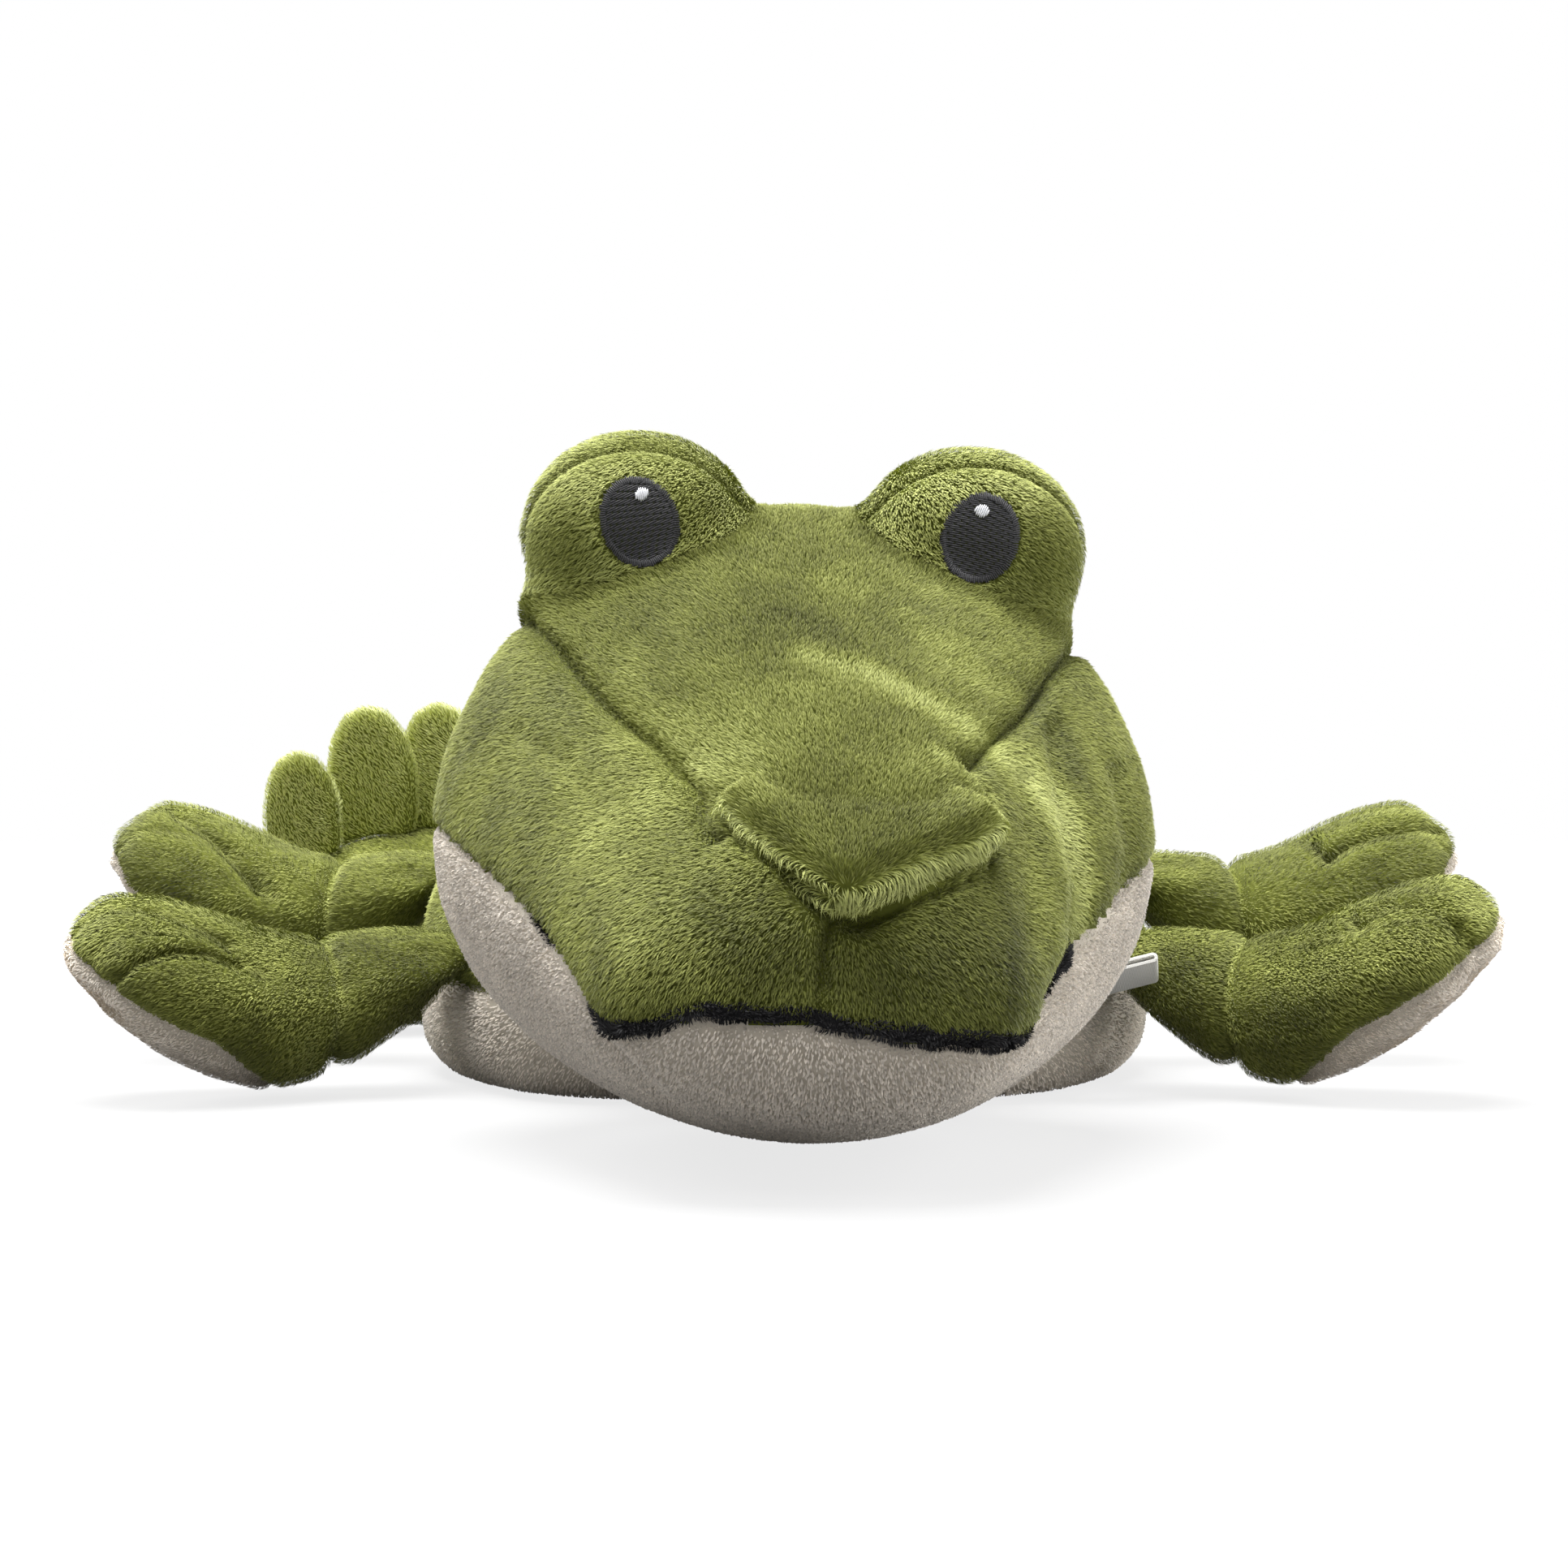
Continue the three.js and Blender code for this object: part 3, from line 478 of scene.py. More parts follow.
def refine(form):
    finer = form.modifiers.new("finer", "SUBSURF")
    finer.levels = 1
    finer.render_levels = 1
    settle(form)
    smoothFaces(form.data)


def smoothStep(value, low, high):
    share = np.clip((value - low) / (high - low), 0, 1)
    return share * share * (3 - 2 * share)


def fade(value, limits):
    # from 0 to 1 between two limits in mm
    return smoothStep(value, limits[0] * mm, limits[1] * mm)


def bell(distance, width):
    return np.exp(-((distance / width) ** 2))


def wander(points, scale, seed):
    # smooth noise vectors over the surface, with features about scale millimetres across
    shift = Vector((seed * 7.31, seed * 3.17, seed * 5.73))
    return np.array([noise.noise_vector(Vector(point / (scale * mm)) + shift) for point in points])


def swirls(points, layers):
    # noise of several sizes: each layer has a size in mm, a seed and an amount
    return sum(wander(points, size, seed) * amount for size, seed, amount in layers)


def offFloor(points):
    # the cloth stays a little above the floor, with room for the pile under it
    points[:, 2] = np.maximum(points[:, 2], forms["restHeight"] * mm)
    return points


def along(normals, direction):
    # a direction laid into the surface
    direction = np.broadcast_to(np.asarray(direction, float), normals.shape)
    flat = direction - normals * np.sum(direction * normals, axis=1, keepdims=True)
    return flat / np.maximum(np.linalg.norm(flat, axis=1, keepdims=True), 1e-6)


def viewSpots(points):
    # where the camera sees each point, in pixels of its frame
    scale = cameraPlace["focalPixels"] / (points[:, 1] + cameraPlace["distance"])
    middle = cameraPlace["framePixels"] / 2
    across = middle + points[:, 0] * scale
    upward = middle - (points[:, 2] - cameraPlace["height"]) * scale
    return np.stack([across, upward], axis=1)


def facing(points, normals):
    # 1 where the surface looks straight at the camera, below 0 where it looks away
    toCamera = np.array((0, -cameraPlace["distance"], cameraPlace["height"])) - points
    toCamera /= np.linalg.norm(toCamera, axis=1, keepdims=True)
    return np.sum(toCamera * normals, axis=1)


def lineDistance(spots, line):
    nearest = np.full(len(spots), 1e9)
    for start, end in zip(line[:-1], line[1:]):
        start, run = np.array(start, float), np.array(end, float) - np.array(start, float)
        share = np.clip(((spots - start) @ run) / (run @ run), 0, 1)
        nearest = np.minimum(nearest, np.linalg.norm(spots - start - share[:, None] * run, axis=1))
    return nearest


def pressFolds(form, folds):
    # soft folds and creases, each along a line in the camera's view
    points, normals = readPoints(form)
    spots = viewSpots(points)
    ahead = smoothStep(facing(points, normals), 0.0, 0.25)
    depth = np.zeros(len(points))
    for line, deep, wide in folds:
        depth += deep * mm * bell(lineDistance(spots, line), wide)
    writePoints(form, points - normals * (depth * ahead)[:, None])


def paintLightAndShade(points, normals, paintedLightLines):
    # painted light and shade: the tone made lighter or darker along each line in the camera's view
    spots = viewSpots(points)
    tone = np.zeros(len(points))
    for line, change, wide in paintedLightLines:
        tone += change * bell(lineDistance(spots, line), wide)
    return tone * smoothStep(facing(points, normals), -0.1, 0.2)


def paintSides(form, second, cloths):
    # the form's backing: the first cloth, and the second where the mask says
    for cloth in cloths:
        form.data.materials.append(cloth)
    shares = [np.mean(second[list(face.vertices)]) for face in form.data.polygons]
    form.data.polygons.foreach_set("material_index", (np.array(shares) > 0.5).astype(np.int32))


# pile: short blades of fur, each two small triangles bent at the middle

pile = {
    "mostBlades": 98000,
    "shortest": (0.05, 0.5),
    "jitter": 0.2,
    "flattest": 0.7,
    "lengthSpread": (0.75, 1.15),
    "widthSpread": (0.7, 1.3),
    "leanSpread": 0.07,
    "leanLimits": (0.05, 0.97),
    "toneLimits": (0.02, 0.98),
    "early": 0.3,
    "late": 0.75,
    "bend": 0.5,
    "roll": 0.22,
    "sink": 0.3,
    "floor": 0.1,
    "quickShare": 0.25,
}
pileCount = {"blades": 0}


def growPile(name, form, look, body, seed, lengths, flow, shade, thick=1.0):
    # flow is given at the form's points, and the others there or as one number
    points, normals = readPoints(form)
    lengths, shade, thick = (np.broadcast_to(value, len(points)) for value in (lengths, shade, thick))
    mesh = form.data
    mesh.calc_loop_triangles()
    tris = np.empty(len(mesh.loop_triangles) * 3, np.int32)
    mesh.loop_triangles.foreach_get("vertices", tris)
    tris = tris.reshape(-1, 3)
    a, b, c = (points[tris[:, corner]] for corner in range(3))
    area = np.linalg.norm(np.cross(b - a, c - a), axis=1) / 2
    area *= fade(lengths[tris].mean(axis=1), pile["shortest"])
    area *= thick[tris].mean(axis=1)
    total = float(area.sum())
    share = 1
    count = int(total / mm ** 2 * look["perSquareMm"] * share)
    rng = np.random.default_rng(seed)
    spot = (np.arange(count) + rng.random(count)) / count * total
    chosen = np.minimum(np.searchsorted(np.cumsum(area), spot), len(area) - 1)
    u, v = rng.random((2, count))
    over = u + v > 1
    u, v = np.where(over, 1 - u, u), np.where(over, 1 - v, v)
    weights = np.stack([1 - u - v, u, v], axis=1)
    corners = tris[chosen]

    def spread(values):
        shape = weights.reshape(count, 3, *([1] * (values.ndim - 1)))
        return (values[corners] * shape).sum(axis=1)

    root = spread(points)
    normal = spread(normals)
    normal /= np.linalg.norm(normal, axis=1, keepdims=True)
    lay = spread(flow) + pile["jitter"] * rng.normal(size=(count, 3))
    lay -= normal * np.sum(lay * normal, axis=1, keepdims=True)
    lay /= np.maximum(np.linalg.norm(lay, axis=1, keepdims=True), pile["flattest"])
    length = (spread(lengths) * rng.uniform(*pile["lengthSpread"], count))[:, None]
    lean = look["lean"] + pile["leanSpread"] * rng.normal(size=count)
    lean = np.clip(lean, *pile["leanLimits"])[:, None]
    upright = np.sqrt(1 - lean ** 2)
    early = normal * (upright + pile["early"]) + lay * lean * (1 - pile["bend"])
    late = normal * upright * pile["late"] + lay * lean * (1 + pile["bend"])
    early /= np.linalg.norm(early, axis=1, keepdims=True)
    late /= np.linalg.norm(late, axis=1, keepdims=True)
    middle = root + early * length * 0.5
    tip = middle + late * length * 0.5
    root = root - normal * pile["sink"] * mm
    side = np.cross(late, normal) + pile["roll"] * rng.normal(size=(count, 3))
    side -= late * np.sum(side * late, axis=1, keepdims=True)
    side /= np.maximum(np.linalg.norm(side, axis=1, keepdims=True), 1e-6)
    half = side * (look["width"] * mm / 2 / math.sqrt(share))
    half *= rng.uniform(*pile["widthSpread"], count)[:, None]
    # each blade's front looks outwards
    turned = np.sum(np.cross(middle - half - root, middle + half - root) * normal, axis=1) < 0
    half[turned] *= -1
    tone = spread(shade) + look["shadeSpread"] * rng.normal(size=count)
    tone = np.clip(tone, *pile["toneLimits"])
    spots = np.stack([root, middle - half, middle + half, tip], axis=1)
    spots[:, :, 2] = np.maximum(spots[:, :, 2], pile["floor"] * mm)

    layers = math.ceil(count / pile["mostBlades"])
    for layer in range(layers):
        part = slice(layer, None, layers)
        label = name if layers == 1 else f"{name}{layer + 1}"
        declare(bladeMesh(label, spots[part], tone[part], look["material"]), body, look["slot"])
    pileCount["blades"] += count


def bladeMesh(label, spots, tone, material):
    blades = len(spots)
    strands = bpy.data.meshes.new(label)
    strands.vertices.add(blades * 4)
    strands.vertices.foreach_set("co", spots.astype(np.float32).ravel())
    order = np.array([0, 1, 2, 1, 3, 2])
    loops = (np.arange(blades)[:, None] * 4 + order).ravel()
    strands.loops.add(blades * 6)
    strands.loops.foreach_set("vertex_index", loops.astype(np.int32))
    strands.polygons.add(blades * 2)
    strands.polygons.foreach_set("loop_start", (np.arange(blades * 2) * 3).astype(np.int32))
    smoothFaces(strands)
    strands.update(calc_edges=True)
    # tone runs across the palette and root to tip runs up it
    palette = strands.uv_layers.new(name="OFBake")
    across = np.array([0, -0.004, 0.004, 0])
    upward = np.broadcast_to(np.array([0.02, 0.5, 0.5, 0.98]), (blades, 4))
    sheet = np.stack([tone[:, None] + across, upward], axis=2)
    palette.data.foreach_set("uv", sheet[:, order].astype(np.float32).ravel())
    strands.materials.append(material)
    return addPiece(label, strands)


greenLook = {"perSquareMm": 7.0, "width": 0.27, "lean": 0.87, "shadeSpread": 0.07,
             "material": greenPile, "slot": "green_plush"}
faceLook = {**greenLook, "perSquareMm": 8.2, "width": 0.23}
leafLook = {**greenLook, "material": paintedGlowPile}
creamLook = {"perSquareMm": 3.6, "width": 0.35, "lean": 0.92, "shadeSpread": 0.05,
             "material": creamPile, "slot": "cream_plush"}
blackLook = {"perSquareMm": 9.0, "width": 0.28, "lean": 0.5, "shadeSpread": 0.2,
             "material": blackPile, "slot": "black_thread"}


# head

headPanels = ["head_top_panel", "cheek_panel_right", "cheek_panel_left", "jaw_panel"]
moundPanels = ["eye_mound_front_right", "eye_mound_back_right", "eye_mound_front_left", "eye_mound_back_left"]
eyeSides = ["right", "left"]
headPlush = {
    "voxel": 3.0,
    "fineVoxel": 1.7,
    "cap": 2.5,
    "seamDepth": 2.2,
    "seamWidth": 1.5,
    "moundSeam": 0.9,
    "creaseEase": 14,
    "rootReach": {"right": 1.0, "left": 0.83},
    "rootDepth": 0.9,
    "rootHeight": 14,
    "rootDrop": 1,
    "bridgeHalf": 13,
    "bridgeRun": 17,
    "bridgeLift": (2.0, 0.2),
    "mouthDepth": 0.7,
    "pileLength": 1.9,
    "jawPile": 1.1,
    "noseTip": (10.5 * mm, -189 * mm, 51 * mm),
    "mouthGap": 7,
    "fanWidth": 30,
    # where form or pile fades in: mm from the thing named
    "seamHold": (1.0, 4.0),
    "flapHold": (4.0, 12.0),
    "moundCrease": (2, 8),
    "seamFade": (0.3, 2.2),
    "stripShort": (0.3, 3.0),
    "stripFade": (0.2, 1.8),
    "flapFade": (0.5, 2.5),
    "greenFade": (-0.2, 1.3),
    "creamFade": (0, 1.0),
    # mm along the toy
    "flapFront": (-179, -174),
    "neckFade": (-38, -30),
    # shares of the eye's outline, and mm that its pile can stand off it
    "eyeFade": (0.96, 1.08),
    "eyeDepth": 10,
    # noise in the lie and tone of the pile: size in mm, seed, amount
    "swirl": [(26, 1, 0.55), (8, 2, 0.4)],
    "patch": [(19, 3, 0.12)],
    "streak": [(6, 4, 0.09)],
    # painted shade in the deep seams, and painted light over the mounds
    "seamShade": 0.2,
    "moundShade": 0.14,
    # folds: line in the view, depth in mm, half width in pixels
    "folds": [
        ([(1296, 900), (1312, 1000), (1330, 1080), (1326, 1170), (1296, 1235)], 2.2, 15),
        ([(1258, 960), (1268, 1060), (1264, 1160)], 1.1, 14),
        ([(1372, 950), (1390, 1040), (1382, 1110)], 1.5, 13),
        ([(738, 1275), (790, 1332), (862, 1396)], 1.5, 8),
        ([(755, 1300), (815, 1350), (880, 1392)], 0.9, 7),
        ([(640, 905), (700, 940), (735, 1000)], 0.9, 16),
    ],
    # painted light and shade on the head: line in the view, change of tone, half width in pixels
    "paintedLightLines": [
        ([(985, 812), (1060, 832), (1130, 865), (1195, 905), (1252, 955), (1300, 1015), (1325, 1085),
          (1327, 1150), (1312, 1215)], 0.36, 14),
        ([(1150, 932), (1190, 962), (1216, 990)], 0.28, 9),
        ([(1262, 930), (1312, 1000), (1345, 1085)], 0.18, 13),
        ([(790, 900), (850, 935), (960, 940)], 0.16, 40),
        ([(745, 1050), (800, 985), (830, 960)], 0.07, 42),
        ([(1015, 722), (1060, 735)], 0.14, 18),
        ([(1120, 770), (1160, 800)], 0.1, 24),
        ([(655, 640), (648, 740)], 0.14, 18),
        ([(700, 600), (840, 575)], 0.1, 26),
        ([(1110, 600), (1260, 600)], 0.1, 26),
        ([(850, 680), (900, 650)], 0.1, 24),
        ([(600, 860), (640, 1000), (680, 1120)], -0.06, 55),
        ([(1275, 855), (1310, 920), (1345, 1000)], -0.12, 15),
        ([(1360, 1040), (1385, 1085)], -0.1, 20),
        ([(820, 790), (960, 760), (1100, 800)], -0.13, 42),
        ([(690, 850), (740, 930)], -0.07, 26),
        ([(1080, 1190), (1215, 1190)], -0.16, 60),
        ([(890, 1130), (980, 1180)], -0.1, 60),
        ([(1235, 1050), (1250, 1150), (1243, 1240)], -0.14, 16),
        ([(735, 1090), (745, 1190)], -0.1, 16),
    ],
}


def moundRoots():
    # padding under each eye mound, so that the mound grows out of the head without a notch
    drop, height = headPlush["rootDrop"] * mm, headPlush["rootHeight"] * mm
    roots = []
    for side in eyeSides:
        corners = np.concatenate([nodeCorners(f"eye_mound_{part}_{side}") for part in ("front", "back")])
        low, high = corners.min(axis=0), corners.max(axis=0)
        place, half = (low + high) / 2, (high - low) / 2
        bpy.ops.mesh.primitive_uv_sphere_add(radius=1, location=(place[0], place[1], low[2] - drop))
        root = bpy.context.object
        root.scale = (half[0] * headPlush["rootReach"][side], half[1] * headPlush["rootDepth"], height)
        bpy.ops.object.transform_apply(location=True, rotation=True, scale=True)
        roots.append(root)
    return roots


def bridgeEnd():
    # spots on the middle of the nose flap's upper face, which the bridge runs up to
    corners = nodeCorners("nose_flap")
    middle, rear = (corners[:, 0].min() + corners[:, 0].max()) / 2, corners[:, 1].max()
    lifts = np.linspace(*headPlush["bridgeLift"], 5)
    spots = []
    for across in np.linspace(-headPlush["bridgeHalf"], headPlush["bridgeHalf"], 5):
        for past, lift in zip(np.linspace(1.5, headPlush["bridgeRun"], 5), lifts):
            above = Vector((middle + across * mm, rear - past * mm, cadBox[1][2]))
            spot = nodeTree("nose_flap").ray_cast(above, Vector((0, 0, -1)))[0]
            if spot:
                spots.append(spot + Vector((0, 0, lift * mm)))
    mesh = bpy.data.meshes.new("bridgeEnd")
    mesh.from_pydata(spots, [], [])
    return addPiece("bridgeEnd", mesh)


def makeHeadForm():
    core = softForm("headPlush", headPanels, voxel=headPlush["voxel"], hull=True, extra=[bridgeEnd()])
    fillings = ["eye_filling_right", "eye_filling_left"]
    mounds = softForm("moundStart", moundPanels, fillings, voxel=2.0, ease=3, single=False)
    head = joinPieces("headPlush", [mounds, *moundRoots(), core])
    remesh(head, headPlush["voxel"], 4)
    points = readPoints(head)[0]
    gaps = np.sort(panelGaps(points, headPanels + moundPanels), axis=1)
    free = np.minimum(fade(gaps[:, 1], headPlush["seamHold"]),
                      fade(nodeDistance(points, "nose_flap"), headPlush["flapHold"]))
    stuff(head, headPlush["cap"], 1 - free)
    return head


def eyeFrame(side):
    # centre, axes and half sizes of a stitched eye, from its solid
    corners = nodeCorners("stitched_eye_" + side)
    mean = corners.mean(axis=0)
    axes = np.linalg.eigh(np.cov((corners - mean).T))[1]
    normal = axes[:, 0] * -np.sign(axes[1, 0])
    upward = axes[:, 2] * np.sign(axes[2, 2])
    across = np.cross(upward, normal)
    placed = (corners - mean) @ np.stack([across, upward], axis=1)
    middle = (placed.max(axis=0) + placed.min(axis=0)) / 2
    centre = mean + across * middle[0] + upward * middle[1]
    return centre, across, upward, normal, (placed.max(axis=0) - placed.min(axis=0)) / 2


def eyeReach(points, side):
    # 0 at the eye's centre, 1 on its outline
    centre, across, upward, normal, half = eyeFrame(side)
    offset = points - centre
    reach = np.hypot(offset @ across / half[0], offset @ upward / half[1])
    return np.where(np.abs(offset @ normal) < headPlush["eyeDepth"] * mm, reach, 9)


# how far the sewn mouth seam runs off its straight line across the snout, all in mm
mouthBend = {"across": (-42, -31, -23, -15, 4, 16, 26), "lift": (0, -2.0, 0.5, 2.8, 3.0, 0.9, 0),
             "rear": (-174, -160), "upper": (38, 46)}


def mouthLift(points):
    lift = np.interp(points[:, 0] / mm, mouthBend["across"], mouthBend["lift"]) * mm
    lift *= 1 - smoothStep(points[:, 1] / mm, *mouthBend["rear"])
    return lift * (1 - smoothStep(points[:, 2] / mm, *mouthBend["upper"]))


def straighten(points):
    # the points with the mouth seam's bend taken out
    straight = points.copy()
    straight[:, 2] -= mouthLift(points)
    return straight


def softenMounds(head):
    # the mounds run into the head in a soft hollow
    points = readPoints(head)[0]
    toMound = panelGaps(points, moundPanels).min(axis=1)
    toHead = panelGaps(points, headPanels).min(axis=1)
    crease = 1 - fade(np.maximum(toMound, toHead), headPlush["moundCrease"])
    weigh(head, "crease", crease)
    soften(head, headPlush["creaseEase"], "crease")


def dressHead(head):
    refine(head)
    remesh(head, headPlush["fineVoxel"], 2)
    softenMounds(head)
    points, normals = readPoints(head)
    panels = panelGaps(straighten(points), headPanels + moundPanels)
    panels[:, 0] = np.minimum(panels[:, 0], nodeDistance(points, "nose_flap"))
    order = np.sort(panels, axis=1)
    nearest = np.argmin(panels, axis=1)
    onJaw = nearest == 3
    onTop = nearest == 0
    onMound = nearest > 3
    mouth = panels[:, 3] + np.minimum(panels[:, 1], panels[:, 2]) < headPlush["mouthGap"] * mm
    besideMound = np.argsort(panels, axis=1)[:, 1] > 3
    deep = np.select([mouth, onMound & besideMound, onMound | besideMound],
                     [headPlush["mouthDepth"], headPlush["moundSeam"], 0.0], headPlush["seamDepth"]) * mm
    toSeam = seamWay(order[:, 0], order[:, 1])
    groove = bell(toSeam, headPlush["seamWidth"] * mm)
    writePoints(head, points - normals * (groove * deep)[:, None])
    pressFolds(head, headPlush["folds"])

    points, normals = readPoints(head)
    reach = np.minimum(eyeReach(points, "right"), eyeReach(points, "left"))
    toStrip = nodeDistance(straighten(points), "mouth_strip")
    toFlap = nodeDistance(points, "nose_flap")
    # the neck end is inside the body, and the stitched eyes have no pile under them
    shown = 1 - fade(points[:, 1], headPlush["neckFade"])
    bare = smoothStep(reach, *headPlush["eyeFade"])
    seamTrim = 0.3 + 0.7 * fade(toSeam, headPlush["seamFade"])
    overStrip = 0.7 + 0.3 * fade(toStrip, headPlush["stripShort"])
    offStrip = fade(toStrip, headPlush["stripFade"])
    underFlap = 1 - fade(toFlap, headPlush["flapFade"])
    underFlap *= 1 - fade(points[:, 1], headPlush["flapFront"])
    # the pile fans out from the nose, runs back over the top panel and sideways over the mounds
    nose = np.array(headPlush["noseTip"])
    swirl = swirls(points, headPlush["swirl"])
    fan = along(normals, points - nose) + along(normals, (0, 0, -0.6))
    outer = np.clip((points[:, :1] - nose[0]) / (headPlush["fanWidth"] * mm), -1, 1) * np.array((1.0, 0, 0))
    backward = along(normals, 0.7 * outer + np.array((0, 0.7, 0.3)))
    sideways = along(normals, outer + np.array((0, 0, -0.7)))
    lay = np.where(onTop[:, None], backward, np.where(onMound[:, None], sideways, fan))
    flow = along(normals, lay + swirl)
    patch = swirls(points, headPlush["patch"])[:, 0]
    patch += swirls(points * np.array((1, 1, 0.35)), headPlush["streak"])[:, 0]
    # painted shade along the deep seams, painted light over the mounds, and painted light and shade along
    # lines in the view
    patch -= headPlush["seamShade"] * groove * (deep > 2 * mm)
    shade = 0.5 + patch + headPlush["moundShade"] * onMound
    shade += paintLightAndShade(points, normals, headPlush["paintedLightLines"])
    thick = 0.28 + 0.72 * smoothStep(facing(points, normals), -0.25, 0.1)
    jawSide = seamSide(np.delete(panels, 3, axis=1).min(axis=1), panels[:, 3])
    offJaw = 1 - fade(jawSide, headPlush["greenFade"])
    green = headPlush["pileLength"] * mm * offJaw * seamTrim * overStrip * shown * bare * (1 - underFlap)
    cream = headPlush["jawPile"] * mm * fade(jawSide, headPlush["creamFade"]) * seamTrim * offStrip * shown
    growPile("headPile", head, faceLook, "head", 11, green, flow, shade, thick)
    back = along(normals, np.array((0, 1, -0.3)) + swirl * 0.4)
    growPile("jawPile", head, creamLook, "head", 12, cream, back, 0.5 + patch * 0.4, 0.5 + 0.5 * thick)
    paintSides(head, onJaw, [greenCloth, creamCloth])
    fillings = ["head_filling", "eye_filling_right", "eye_filling_left"]
    declare(head, "head", "green_plush", *headPanels, *moundPanels, *fillings, fill=0.75)
    print("head dressed")


# nose flap: the folded end of the top panel, padded, lying on the snout

noseFlap = {
    "voxel": 1.2,
    "cap": 1.3,
    "lean": (0, -0.5, 0.86),
    "sink": 2.0,
    "sinkRun": 18,
    "pileLength": 1.9,
    "edgePile": 3.2,
    "edgeTurn": (0.3, 0.7),
    "edgeStart": (161, 168),
    "tipRun": (12, 32),
    "tipShift": (-2.5, 1.2, 1.8),
    # the flap's pile is painted darker than the head's, painted shade on its upturned face; lighter towards
    # the rear, painted light to meet the bridge; and paler on the edge, partly its paler fringe of hair and
    # partly painted light on the shaded fringe
    "tone": 0.43,
    "rearPaintedLight": 0.08,
    "rearRun": (4, 20),
    "edgePaleHairAndLight": 0.44,
    "fanWidth": 14,
    "swirl": [(14, 1, 0.45), (6, 2, 0.35)],
    "patch": [(15, 3, 0.18), (5, 4, 0.1)],
    # the crease of the fold: line in the view, depth in mm, half width in pixels
    "folds": [([(886, 985), (903, 1024), (958, 1062), (1024, 1100)], 2.4, 6)],
}


def makeNoseForm():
    form = softForm("noseFlap", ["nose_flap"], voxel=noseFlap["voxel"], ease=2)
    normals = readPoints(form)[1]
    stuff(form, noseFlap["cap"], 1 - smoothStep(np.abs(normals @ np.array(noseFlap["lean"])), 0.4, 0.75))
    return form


def dressNose(form, head):
    refine(form)
    tree = meshTree(head.data)
    points = readPoints(form)[0]
    # the rear of the flap runs level into the top panel
    under = np.array([tree.find_nearest(Vector(point))[1] for point in points])
    past = (points[:, 1].max() - points[:, 1]) / mm
    sinking = 1 - smoothStep(past, 0, noseFlap["sinkRun"])
    points -= under * (sinking * noseFlap["sink"] * mm)[:, None]
    toTip = smoothStep(past, *noseFlap["tipRun"])
    points += toTip[:, None] * np.array(noseFlap["tipShift"]) * mm
    writePoints(form, points)
    pressFolds(form, noseFlap["folds"])
    points, normals = readPoints(form)
    edge = smoothStep(1 - np.abs(normals @ np.array(noseFlap["lean"])), *noseFlap["edgeTurn"])
    edge *= fade(-points[:, 1], noseFlap["edgeStart"])
    swirl = swirls(points, noseFlap["swirl"]) * (1 - 0.7 * edge[:, None])
    # the pile runs back over the flap and hangs over its edge
    away = (points[:, :1] - headPlush["noseTip"][0]) / (noseFlap["fanWidth"] * mm)
    outer = np.clip(away, -1, 1) * np.array((0.8, 0, 0))
    hanging = along(normals, outer + np.array((0, -0.5, -0.5))) * edge[:, None]
    backward = along(normals, 0.6 * outer + np.array((0, 0.7, 0.3))) * (1 - edge[:, None])
    flow = along(normals, backward + hanging + swirl)
    length = noseFlap["pileLength"] + (noseFlap["edgePile"] - noseFlap["pileLength"]) * edge
    # painted shade over the flap, painted light at its rear, and a paler edge from paler hair and painted
    # light
    tone = noseFlap["tone"] + noseFlap["rearPaintedLight"] * (1 - smoothStep(past, *noseFlap["rearRun"]))
    tone = tone + noseFlap["edgePaleHairAndLight"] * edge + swirls(points, noseFlap["patch"])[:, 0]
    growPile("nosePile", form, faceLook, "head", 13, length * mm, flow, tone)
    form.data.materials.append(greenCloth)
    declare(form, "head", "green_plush", "nose_flap", fill=0.6)
    print("nose flap dressed")


# stitched eyes

stitch = {
    "rowPitch": 0.42,
    "rowShift": 0.37,
    "run": 3.6,
    "shortest": 0.35,
    "between": 0.1,
    "slant": 0.14,
    "fillReach": 0.95,
    "width": 0.2,
    "height": 0.26,
    "depth": 0.5,
    "lift": 0.35,
    "rayStart": 25,
    "ring": 118,
    "ringTurn": 0.03,
    "ringLift": 0.35 + 0.14,
    "glintRows": 7,
    "glintSize": 1.35,
    "glintSlant": 0.3,
    "glintLift": 0.85,
}


def threadMaterial(name, colour, light):
    material, tree, shader = newMaterial(name, colour, 0.5, 0.4)
    grain = grainNode(tree, 2600, 2)
    tree.links.new(addRamp(tree, grain, [(0.35, colour), (0.75, light)]), shader.inputs["Base Color"])
    return material


blackThread = threadMaterial("blackThread", (0.031, 0.031, 0.033), (0.104, 0.101, 0.105))
whiteThread = threadMaterial("whiteThread", (0.72, 0.73, 0.76), (0.88, 0.88, 0.9))


